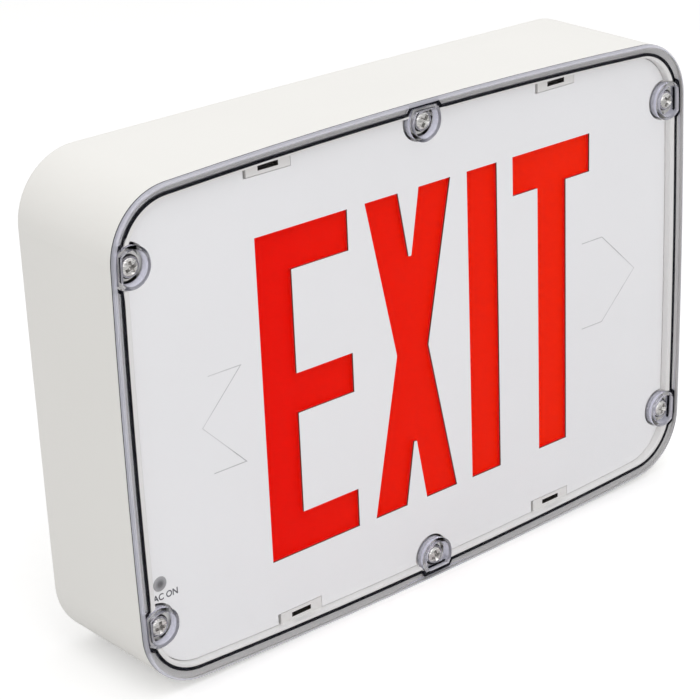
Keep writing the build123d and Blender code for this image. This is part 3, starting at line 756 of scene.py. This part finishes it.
def skirt_outside(work):
    """Faces of the skirt's outside, found by going round from the one furthest to the right."""
    upright = [f for f in work.faces if abs(f.normal.y) < 0.15]
    start = max(upright, key=lambda f: f.calc_center_median().x * f.normal.x)
    wall = {start}
    edge_of_search = [start]
    for face in edge_of_search:
        for edge in face.edges:
            for other in edge.link_faces:
                if other in wall or abs(other.normal.y) >= 0.15:
                    continue
                if other.normal.dot(face.normal) > 0.8:
                    wall.add(other)
                    edge_of_search.append(other)
    return wall


def skirt_inside(work, outside, thickness):
    """Upright faces that look inwards, no further from the skirt's outside than its thickness."""
    corners = []
    shapes = []
    for face in outside:
        shapes.append(tuple(range(len(corners), len(corners) + len(face.verts))))
        corners += [vertex.co.copy() for vertex in face.verts]
    tree = BVHTree.FromPolygons(corners, shapes)
    found = []
    for face in work.faces:
        if face in outside or abs(face.normal.y) > 0.15:
            continue
        place, normal, index, distance = tree.find_nearest(face.calc_center_median())
        if distance < thickness and normal.dot(face.normal) < -0.5:
            found.append(face)
    return found


def solids_of(node):
    """Boxes of the separate solids in a node, as (low, high) pairs."""
    mesh = merged(node)
    seen = set()
    found = []
    for start in mesh.verts:
        if start in seen:
            continue
        island = [start]
        seen.add(start)
        for vertex in island:
            for edge in vertex.link_edges:
                other = edge.other_vert(vertex)
                if other not in seen:
                    seen.add(other)
                    island.append(other)
        low = Vector([min(v.co[axis] for v in island) for axis in range(3)])
        high = Vector([max(v.co[axis] for v in island) for axis in range(3)])
        found.append((low, high))
    mesh.free()
    return found


def screw_axes():
    """Place of each cover screw as seen from the front."""
    return [((low.x + high.x) / 2, (low.z + high.z) / 2) for low, high in solids_of(COVER_SCREWS)]


def from_screws(place, axes):
    """Distance to the nearest of the cover screws' axes."""
    return min(math.hypot(place.x - x, place.z - z) for x, z in axes)


def split_beside(work, axes, reach):
    """Edges square to the rim, at a distance to each side of every screw's axis."""
    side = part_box("lens_cover")[1].x / 2
    for x, z in axes:
        for way in (-1, 1):
            if abs(x) > side:
                split(work, (0, 0, z + way * reach), (0, 0, 1))
            else:
                split(work, (x + way * reach, 0, 0), (1, 0, 0))


def screw_profile(head_radius, head_height, shank_radius, length, pitch):
    """Rings from tip to crown: each is a height, a radius and a thread depth."""
    thread = pitch * 0.28
    tip = pitch * 0.8
    steps = max(4, round((length - tip) / pitch * 6))
    rings = [(-length, shank_radius * 0.45, 0)]
    for step in range(steps + 1):
        height = -length + tip + (length - tip) * step / steps
        fade = min(1, (steps - step) / 6)
        rings.append((height, shank_radius, thread * fade))
    rings.append((0, head_radius * 0.97, 0))
    rings.append((head_height * 0.04, head_radius, 0))
    arc_steps = 9
    side = head_height * 0.30
    for step in range(arc_steps):
        angle = step / arc_steps * math.pi / 2
        radius = head_radius * math.cos(angle) ** 0.55
        rings.append((side + (head_height - side) * math.sin(angle), radius, 0))
    return rings


def dome(share, head_height):
    """Height of a pan head's top at a share of its radius."""
    side = head_height * 0.30
    cosine = min(1, share) ** (1 / 0.55)
    return side + (head_height - side) * math.sqrt(1 - cosine**2)


def screw_mesh(name, profile, pitch, segments=40):
    """Closed screw along Z with a helical thread; its head's seat is at z = 0."""
    vertices = [(0, 0, profile[0][0])]
    for height, radius, thread in profile:
        for segment in range(segments):
            turn = segment / segments
            wave = abs((height / pitch - turn) % 1.0 - 0.5) * 2
            reach = radius - thread * wave
            angle = 2 * math.pi * turn
            vertices.append((reach * math.cos(angle), reach * math.sin(angle), height))
    vertices.append((0, 0, profile[-1][0]))
    last = len(vertices) - 1
    faces = []
    for segment in range(segments):
        after = (segment + 1) % segments
        faces.append((0, 1 + after, 1 + segment))
        for ring in range(len(profile) - 1):
            base = 1 + ring * segments
            upper = base + segments
            faces.append((base + segment, base + after, upper + after, upper + segment))
        top = 1 + (len(profile) - 1) * segments
        faces.append((top + segment, top + after, last))
    return mesh_object(name, vertices, faces)


def cross_cutter(reach, width, top, depth):
    """Tapered cross that leaves the recess of a screw head."""
    half = width / 2
    arm = reach / 2
    corner = [
        (arm, -half), (arm, half), (half, half), (half, arm), (-half, arm), (-half, half),
        (-arm, half), (-arm, -half), (-half, -half), (-half, -arm), (half, -arm), (half, -half),
    ]
    taper = 0.5
    vertices = [(x, y, top) for x, y in corner]
    vertices += [(x * taper, y * taper, top - depth) for x, y in corner]
    count = len(corner)
    faces = [tuple(range(count)), tuple(range(2 * count - 1, count - 1, -1))]
    for index in range(count):
        after = (index + 1) % count
        faces.append((index, index + count, after + count, after))
    return mesh_object("cross_cutter", vertices, faces)


def recessed(screw, cutter):
    """The screw with the cutter's form taken out of its head, laid along Y to face the front."""
    cut = screw.modifiers.new("recess", "BOOLEAN")
    cut.operation = "DIFFERENCE"
    cut.solver = "EXACT"
    cut.object = cutter
    made = baked(screw, screw.name)
    bpy.data.objects.remove(cutter)
    made.data.transform(Matrix.Rotation(math.pi / 2, 4, "X"))
    return made


def scatter_tree():
    """Geometry nodes: a part on each point, turned by a seeded angle, as real geometry."""
    tree = bpy.data.node_groups.new("parts_on_points", "GeometryNodeTree")
    sockets = {}
    for name, kind, way in (
        ("Geometry", "NodeSocketGeometry", "INPUT"),
        ("Part", "NodeSocketObject", "INPUT"),
        ("Finish", "NodeSocketMaterial", "INPUT"),
        ("Turn", "NodeSocketFloat", "INPUT"),
        ("Seed", "NodeSocketInt", "INPUT"),
        ("Geometry", "NodeSocketGeometry", "OUTPUT"),
    ):
        item = tree.interface.new_socket(name=name, in_out=way, socket_type=kind)
        if way == "INPUT":
            sockets[name] = item.identifier
    nodes = tree.nodes
    link = tree.links.new
    entry = nodes.new("NodeGroupInput")
    leave = nodes.new("NodeGroupOutput")
    info = nodes.new("GeometryNodeObjectInfo")
    points = nodes.new("GeometryNodeMeshToPoints")
    place = nodes.new("GeometryNodeInstanceOnPoints")
    spin = nodes.new("FunctionNodeRandomValue")
    angle = nodes.new("ShaderNodeCombineXYZ")
    turn = nodes.new("GeometryNodeRotateInstances")
    real = nodes.new("GeometryNodeRealizeInstances")
    finish = nodes.new("GeometryNodeSetMaterial")
    link(entry.outputs["Geometry"], points.inputs["Mesh"])
    link(points.outputs["Points"], place.inputs["Points"])
    link(entry.outputs["Part"], info.inputs["Object"])
    link(info.outputs["Geometry"], place.inputs["Instance"])
    link(entry.outputs["Turn"], spin.inputs["Max"])
    link(entry.outputs["Seed"], spin.inputs["Seed"])
    link(spin.outputs["Value"], angle.inputs["Y"])
    link(place.outputs["Instances"], turn.inputs["Instances"])
    link(angle.outputs["Vector"], turn.inputs["Rotation"])
    link(turn.outputs["Instances"], real.inputs["Geometry"])
    link(real.outputs["Geometry"], finish.inputs["Geometry"])
    link(entry.outputs["Finish"], finish.inputs["Material"])
    link(finish.outputs["Geometry"], leave.inputs["Geometry"])
    return tree, sockets


def on_points(name, points, part, finish, turn, seed):
    """A copy of the part on each point, as one plain mesh; the part itself is removed."""
    tree, sockets = scatter_tree()
    holder = mesh_object(name, points, [])
    spread = holder.modifiers.new("parts", "NODES")
    spread.node_group = tree
    spread[sockets["Part"]] = part
    spread[sockets["Finish"]] = finish
    spread[sockets["Turn"]] = turn
    spread[sockets["Seed"]] = seed
    made = baked(holder, name)
    bpy.data.objects.remove(part)
    smooth_by_angle(made, math.radians(35))
    return made


def smooth_by_angle(piece, angle):
    """Smooth faces, with level faces and edges sharper than the angle kept crisp."""
    mesh = piece.data
    mesh.polygons.foreach_set("use_smooth", [True] * len(mesh.polygons))
    work = bmesh.new()
    work.from_mesh(mesh)
    for edge in work.edges:
        level = {abs(face.normal.y) > 0.9999 for face in edge.link_faces}
        edge.smooth = len(edge.link_faces) == 2 and edge.calc_face_angle(0) < angle and len(level) == 1
    work.to_mesh(mesh)
    work.free()
    mesh.update()


def plate_front():
    """Level of the face plate's front, between the letters and the indicator."""
    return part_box("red_diffuser")[0].y - 2.2 * MM


# Operators, one for each piece or group of like pieces


class EXITSIGN_OT_case(Operator):
    """Finishes of the housing, the wall seal and the washers under the screws"""

    bl_idname = "exitsign.case"
    bl_label = "Case and Seals"

    def execute(self, context):
        colours = context.scene.exitsign_colours
        dress("housing", housing_white(colours))
        dress("wall_gasket", foam_black(colours))
        dress("screw_seals", silicone("seal_rubber", (0.02, 0.02, 0.022)))
        return {"FINISHED"}


class EXITSIGN_OT_cover(Operator):
    """Clear cover, with the white edge that stands up round its skirt and the joint above it"""

    bl_idname = "exitsign.cover"
    bl_label = "Clear Cover"

    def execute(self, context):
        colours = context.scene.exitsign_colours
        details = context.scene.exitsign_details
        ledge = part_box("cover_gasket")[1].y
        lip = ledge - details.lip_height
        joint = lip - details.lip_gap
        work = merged("lens_cover")
        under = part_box("lens_cover")[0].y + 2.6 * MM
        contact = under + details.bead_contact
        foot = max(v.co.y for face in skirt_outside(work) for v in face.verts)
        for vertex in {v for face in skirt_outside(work) for v in face.verts}:
            if vertex.co.y > foot - 0.01 * MM:
                vertex.co.y = ledge
        for level in (lip, joint, under, contact):
            split(work, (0, level, 0), (0, 1, 0))
        work.normal_update()
        outside = skirt_outside(work)
        for face in outside:
            height = face.calc_center_median().y
            if height > lip:
                face.material_index = 1
            elif height > joint:
                face.material_index = 2
        for face in skirt_inside(work, outside, 5.2 * MM):
            if under < face.calc_center_median().y < contact:
                face.material_index = 2
        made = finished(
            work, "lens_cover_detailed", clear_cover(colours), housing_white(colours),
            silicone("joint_dark", colours.seal),
        )
        smooth_by_angle(made, math.radians(35))
        settle(made, replaced=["lens_cover"])
        return {"FINISHED"}


class EXITSIGN_OT_bead(Operator):
    """Black seal inside the skirt, its crown close up under the cover"""

    bl_idname = "exitsign.bead"
    bl_label = "Seal"

    def execute(self, context):
        colours = context.scene.exitsign_colours
        details = context.scene.exitsign_details
        reach = 13.0 * MM
        axes = screw_axes()
        work = merged("cover_gasket")
        crown = min(v.co.y for v in work.verts)
        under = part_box("lens_cover")[0].y + 2.6 * MM + details.bead_gap
        split_beside(work, axes, reach)
        for vertex in work.verts:
            at_crown = vertex.co.y < crown + 0.01 * MM
            if at_crown and from_screws(vertex.co, axes) > reach:
                vertex.co.y = under
        work.normal_update()
        made = finished(work, "cover_gasket_detailed", silicone("seal_black", colours.seal))
        smooth_by_angle(made, math.radians(30))
        settle(made, replaced=["cover_gasket"])
        return {"FINISHED"}


class EXITSIGN_OT_plate(Operator):
    """Stencil plate, the red sheet behind its letters and the round indicator"""

    bl_idname = "exitsign.plate"
    bl_label = "Face Plate"

    def execute(self, context):
        colours = context.scene.exitsign_colours
        dress("face_plate", plate_white(colours))
        dress("red_diffuser", diffuser_red(colours))
        dress("indicator_lens", window_grey(colours))
        dress("indicator_led", lamp_clear(colours))
        return {"FINISHED"}


class EXITSIGN_OT_chamber(Operator):
    """Light chamber with its two rows of diodes"""

    bl_idname = "exitsign.chamber"
    bl_label = "Light Chamber"

    def execute(self, context):
        colours = context.scene.exitsign_colours
        dress("reflector_tray", tray_white(colours))
        strip = board("board_white", (0.72, 0.73, 0.70), (0.60, 0.60, 0.56))
        dress("led_board_upper", strip)
        dress("led_board_lower", strip)
        dress("diodes", diode_red(colours))
        return {"FINISHED"}


class EXITSIGN_OT_electrics(Operator):
    """Charger board with its parts, the battery and the test switch"""

    bl_idname = "exitsign.electrics"
    bl_label = "Charger, Battery and Switch"

    def execute(self, context):
        colours = context.scene.exitsign_colours
        dress("control_board", board("board_green", (0.02, 0.16, 0.06), (0.05, 0.26, 0.11)))
        dress("transformer_core", core_steel(colours))
        dress("transformer_coil", coil_copper(colours))
        dress("relay", relay_case(colours))
        dress("filter_capacitor", capacitor_sleeve(colours))
        dress("terminal_block", terminal_green(colours))
        dress("battery_socket", socket_cream(colours))
        dress("battery_pack", battery_wrap(colours))
        dress("battery_clip", bright_steel("clip_steel", (0.55, 0.55, 0.54), 0.35))
        dress("test_switch", switch_black(colours))
        dress("test_switch_nut", bright_steel("switch_nut", (0.66, 0.63, 0.56), 0.3))
        dress("test_button", button_red(colours))
        return {"FINISHED"}


class EXITSIGN_OT_cover_screws(Operator):
    """Six pan head screws with a cross recess, in the wells of the cover"""

    bl_idname = "exitsign.cover_screws"
    bl_label = "Cover Screws"

    def execute(self, context):
        colours = context.scene.exitsign_colours
        details = context.scene.exitsign_details
        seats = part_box("screw_seals")[0].y
        boxes = solids_of(COVER_SCREWS)
        low, high = boxes[0]
        head_radius = (high.x - low.x) / 2
        head_height = seats - low.y
        pitch = details.thread_pitch
        profile = screw_profile(head_radius, head_height, 2.0 * MM, high.y - seats, pitch)
        screw = screw_mesh("cover_screw", profile, pitch)
        lip = 0.1 * MM
        cutter = cross_cutter(
            details.recess_reach, details.recess_width, head_height + lip, details.recess_depth + lip
        )
        screw = recessed(screw, cutter)
        places = [((a.x + b.x) / 2, seats, (a.z + b.z) / 2) for a, b in boxes]
        # Painted reflection: the high contrast paints bright and dark patches into the screws' colour.
        steel = bright_steel("stainless", colours.steel, 0.22, line_and_reflection_contrast=0.6)
        made = on_points(
            "cover_screws_detailed", places, screw, steel, 2 * math.pi, details.turn_seed
        )
        # Painted shade: the cross recess and the head's side wall are coloured near black, for the shade
        # in the recess and the dark reflection on the side wall.
        made.data.materials.append(bright_steel("stainless_shade", (0.045, 0.045, 0.05), 0.4))
        for face in made.data.polygons:
            x, z = min(
                ((face.center.x - p[0], face.center.z - p[2]) for p in places),
                key=lambda offset: math.hypot(*offset),
            )
            share = math.hypot(x, z) / head_radius
            height = seats - face.center.y
            if height > 0 and (share > 0.93 or height < dome(share, head_height) - 0.15 * MM):
                face.material_index = 1
        settle(made, replaced=[COVER_SCREWS])
        return {"FINISHED"}


class EXITSIGN_OT_inner_screws(Operator):
    """Small screws of the tray, the boards and the battery clip"""

    bl_idname = "exitsign.inner_screws"
    bl_label = "Inner Screws"

    def execute(self, context):
        details = context.scene.exitsign_details
        zinc = bright_steel("zinc_screw", (0.58, 0.57, 0.52), 0.33)
        for number, node in enumerate(INNER_SCREWS):
            boxes = solids_of(node)
            low, high = boxes[0]
            head_radius = (high.x - low.x) / 2
            head_height = 1.6 * MM
            seat = low.y + head_height
            pitch = 1.1 * MM
            profile = screw_profile(head_radius, head_height, 1.5 * MM, high.y - seat, pitch)
            screw = screw_mesh("inner_screw", profile, pitch, segments=24)
            lip = 0.1 * MM
            cutter = cross_cutter(3.2 * MM, 0.8 * MM, head_height + lip, 1.1 * MM + lip)
            screw = recessed(screw, cutter)
            places = [((a.x + b.x) / 2, seat, (a.z + b.z) / 2) for a, b in boxes]
            seed = details.turn_seed + number
            made = on_points(f"{node}_detailed", places, screw, zinc, 2 * math.pi, seed)
            settle(made, replaced=[node])
        return {"FINISHED"}


class EXITSIGN_OT_label(Operator):
    """Small print that says what the round indicator shows"""

    bl_idname = "exitsign.label"
    bl_label = "Indicator Label"

    def execute(self, context):
        colours = context.scene.exitsign_colours
        details = context.scene.exitsign_details
        low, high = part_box("indicator_lens")
        text = bpy.data.curves.new("label_text", "FONT")
        text.body = "AC ON"
        text.extrude = details.print_height / 2
        text.offset = details.label_weight
        holder = bpy.data.objects.new("label_text", text)
        context.scene.collection.objects.link(holder)
        made = baked(holder, "indicator_label")
        xs = [v.co.x for v in made.data.vertices]
        ys = [v.co.y for v in made.data.vertices]
        width = details.label_width / (max(xs) - min(xs))
        height = details.label_height / (max(ys) - min(ys))
        centre = Vector(((max(xs) + min(xs)) / 2, (max(ys) + min(ys)) / 2, 0))
        grow = Matrix.Diagonal((width, height, 1, 1))
        stand = Matrix.Rotation(math.pi / 2, 4, "X")
        x = low.x + 5.8 * MM
        z = (low.z + high.z) / 2 - details.label_drop
        place = Matrix.Translation((x, plate_front() - details.print_height / 2, z))
        made.data.transform(place @ stand @ grow @ Matrix.Translation(-centre))
        made.data.materials.append(print_grey(colours))
        settle(made)
        return {"FINISHED"}


def arrow_points(tip, way, reach, half, shelf):
    """Visible part of an arrow's outline: two short shelves and the two slopes to its point."""
    return [
        (tip - way * shelf, half),
        (tip, half),
        (tip + way * reach, 0),
        (tip, -half),
        (tip - way * shelf, -half),
    ]


def line_strip(points, width):
    """Flat strip along an open path, mitred at its corners, as left and right points."""
    sides = []
    for index, point in enumerate(points):
        here = Vector(point)
        before = Vector(points[max(index - 1, 0)])
        after = Vector(points[min(index + 1, len(points) - 1)])
        into = (here - before).normalized() if index else (after - here).normalized()
        out = (after - here).normalized() if index < len(points) - 1 else into
        normal = Vector((-(into + out).y, (into + out).x)).normalized()
        mitre = width / 2 / max(0.3, normal.dot(Vector((-into.y, into.x))))
        sides.append((here + normal * mitre, here - normal * mitre))
    return sides


class EXITSIGN_OT_arrow_lines(Operator):
    """Faint lines in the plate where the direction arrows can be broken out"""

    bl_idname = "exitsign.arrow_lines"
    bl_label = "Arrow Lines"

    def execute(self, context):
        colours = context.scene.exitsign_colours
        details = context.scene.exitsign_details
        finish = arrow_line(colours)
        level = plate_front()
        left = arrow_points(-105.5 * MM, -1, 22.0 * MM, 22.5 * MM, -17.5 * MM)
        right = arrow_points(116.5 * MM, 1, 23.0 * MM, 22.0 * MM, 14.0 * MM)
        for name, points in (("arrow_line_left", left), ("arrow_line_right", right)):
            vertices = []
            faces = []
            for y in (level - details.print_height, level + details.print_height):
                for one, other in line_strip(points, details.line_width):
                    vertices.append((one.x, y, one.y))
                    vertices.append((other.x, y, other.y))
            count = 2 * len(points)
            for index in range(0, count - 2, 2):
                ring = (index, index + 1, index + 3, index + 2)
                faces.append(ring)
                faces.append(tuple(v + count for v in reversed(ring)))
                faces.append((index, index + 2, index + 2 + count, index + count))
                faces.append((index + 1, index + 1 + count, index + 3 + count, index + 3))
            faces.append((0, count, count + 1, 1))
            faces.append((count - 2, count - 1, 2 * count - 1, 2 * count - 2))
            made = mesh_object(name, vertices, faces, finish)
            work = bmesh.new()
            work.from_mesh(made.data)
            bmesh.ops.recalc_face_normals(work, faces=work.faces)
            work.to_mesh(made.data)
            work.free()
            settle(made)
        return {"FINISHED"}


class EXITSIGN_OT_stage(Operator):
    """Pale floor, soft light and the camera"""

    bl_idname = "exitsign.stage"
    bl_label = "Floor, Light and Camera"

    def execute(self, context):
        scene = context.scene
        stage = scene.exitsign_stage
        scene.view_settings.view_transform = "Standard"
        self.make_floor(stage)
        self.make_world(scene, stage)
        centre = Vector((0, -0.04, 0))
        self.make_light("top_light", (0.0, -0.55, 1.6), centre, 1.6, stage.top_light)
        self.make_light("front_light", (-0.9, -1.9, 0.9), centre, 1.8, stage.front_light)
        self.make_camera(scene, stage)
        return {"FINISHED"}

    def make_floor(self, stage):
        half = stage.floor_size / 2
        level = cad_box[0].z
        corners = [(-half, -half, level), (half, -half, level), (half, half, level), (-half, half, level)]
        floor = mesh_object("floor", corners, [(0, 1, 2, 3)])
        paint = Paint("floor_pale", (0.80, 0.80, 0.80), 0.8, specular=0.1)
        paint.tint(paint.noise(3.0), "Fac", 0.2, 0.8, (0.79, 0.79, 0.79), (0.81, 0.81, 0.81))
        glow = paint.node("ShaderNodeEmission")
        path = paint.node("ShaderNodeLightPath")
        lift = paint.node("ShaderNodeMath", operation="MULTIPLY")
        paint.link(path, "Is Camera Ray", lift, 0)
        paint.set(lift, 1, stage.floor_lift)
        paint.link(lift, "Value", glow, "Strength")
        both = paint.node("ShaderNodeAddShader")
        paint.tree.links.new(paint.shader.outputs["BSDF"], both.inputs[0])
        paint.tree.links.new(glow.outputs["Emission"], both.inputs[1])
        paint.link(both, "Shader", paint.output, "Surface")
        floor.data.materials.append(paint.material)

    def make_world(self, scene, stage):
        """White for the camera, for reflections and through the cover; soft grey as light."""
        world = bpy.data.worlds.new("studio")
        scene.world = world
        world.use_nodes = True
        tree = world.node_tree
        tree.nodes.clear()
        output = tree.nodes.new("ShaderNodeOutputWorld")
        mix = tree.nodes.new("ShaderNodeMixShader")
        room = tree.nodes.new("ShaderNodeBackground")
        room.inputs["Color"].default_value = (1.0, 0.995, 0.985, 1)
        room.inputs["Strength"].default_value = stage.sky
        seen = tree.nodes.new("ShaderNodeBackground")
        seen.inputs["Color"].default_value = (1, 1, 1, 1)
        seen.inputs["Strength"].default_value = 1.0
        path = tree.nodes.new("ShaderNodeLightPath")
        first = tree.nodes.new("ShaderNodeMath")
        first.operation = "MAXIMUM"
        second = tree.nodes.new("ShaderNodeMath")
        second.operation = "MAXIMUM"
        tree.links.new(path.outputs["Is Camera Ray"], first.inputs[0])
        tree.links.new(path.outputs["Is Glossy Ray"], first.inputs[1])
        tree.links.new(first.outputs["Value"], second.inputs[0])
        tree.links.new(path.outputs["Is Transmission Ray"], second.inputs[1])
        tree.links.new(second.outputs["Value"], mix.inputs["Fac"])
        tree.links.new(room.outputs["Background"], mix.inputs[1])
        tree.links.new(seen.outputs["Background"], mix.inputs[2])
        tree.links.new(mix.outputs["Shader"], output.inputs["Surface"])

    def make_light(self, name, place, target, size, power):
        lamp = bpy.data.lights.new(name, "AREA")
        lamp.shape = "SQUARE"
        lamp.size = size
        lamp.energy = power
        holder = bpy.data.objects.new(name, lamp)
        holder.location = place
        aim = target - Vector(place)
        holder.rotation_euler = aim.to_track_quat("-Z", "Y").to_euler()
        bpy.context.scene.collection.objects.link(holder)

    def make_camera(self, scene, stage):
        camera = bpy.data.cameras.new("camera")
        camera.sensor_width = 36.0
        camera.lens = stage.lens
        camera.clip_end = 50.0
        holder = bpy.data.objects.new("camera", camera)
        turn = Matrix.Rotation(-stage.heading, 4, "Z")
        turn @= Matrix.Rotation(math.pi / 2 - stage.tilt, 4, "X")
        turn @= Matrix.Rotation(stage.roll, 4, "Z")
        holder.matrix_world = Matrix.Translation(stage.camera_place) @ turn
        scene.collection.objects.link(holder)
        scene.camera = holder


class EXITSIGN_PT_panel(Panel):
    """Lists the steps that dress the sign, with their sizes and colours"""

    bl_idname = "EXITSIGN_PT_panel"
    bl_label = "Exit Sign"
    bl_space_type = "VIEW_3D"
    bl_region_type = "UI"
    bl_category = "Exit Sign"

    def draw(self, context):
        column = self.layout.column(align=True)
        for operator in OPERATORS:
            column.operator(operator.bl_idname)
        for group in (
            context.scene.exitsign_colours,
            context.scene.exitsign_details,
            context.scene.exitsign_stage,
        ):
            box = self.layout.box()
            for name in group.__annotations__:
                box.prop(group, name)


GROUPS = (SignColours, SignDetails, SignStage)
OPERATORS = (
    EXITSIGN_OT_case,
    EXITSIGN_OT_cover,
    EXITSIGN_OT_bead,
    EXITSIGN_OT_plate,
    EXITSIGN_OT_chamber,
    EXITSIGN_OT_electrics,
    EXITSIGN_OT_cover_screws,
    EXITSIGN_OT_inner_screws,
    EXITSIGN_OT_label,
    EXITSIGN_OT_arrow_lines,
    EXITSIGN_OT_stage,
)


def register():
    for made in GROUPS + OPERATORS + (EXITSIGN_PT_panel,):
        bpy.utils.register_class(made)
    bpy.types.Scene.exitsign_colours = PointerProperty(type=SignColours)
    bpy.types.Scene.exitsign_details = PointerProperty(type=SignDetails)
    bpy.types.Scene.exitsign_stage = PointerProperty(type=SignStage)


def unregister():
    del bpy.types.Scene.exitsign_stage
    del bpy.types.Scene.exitsign_details
    del bpy.types.Scene.exitsign_colours
    for made in reversed(GROUPS + OPERATORS + (EXITSIGN_PT_panel,)):
        bpy.utils.unregister_class(made)


def main():
    register()
    for operator in OPERATORS:
        group, name = operator.bl_idname.split(".")
        getattr(getattr(bpy.ops, group), name)()


if __name__ == "__main__":
    main()
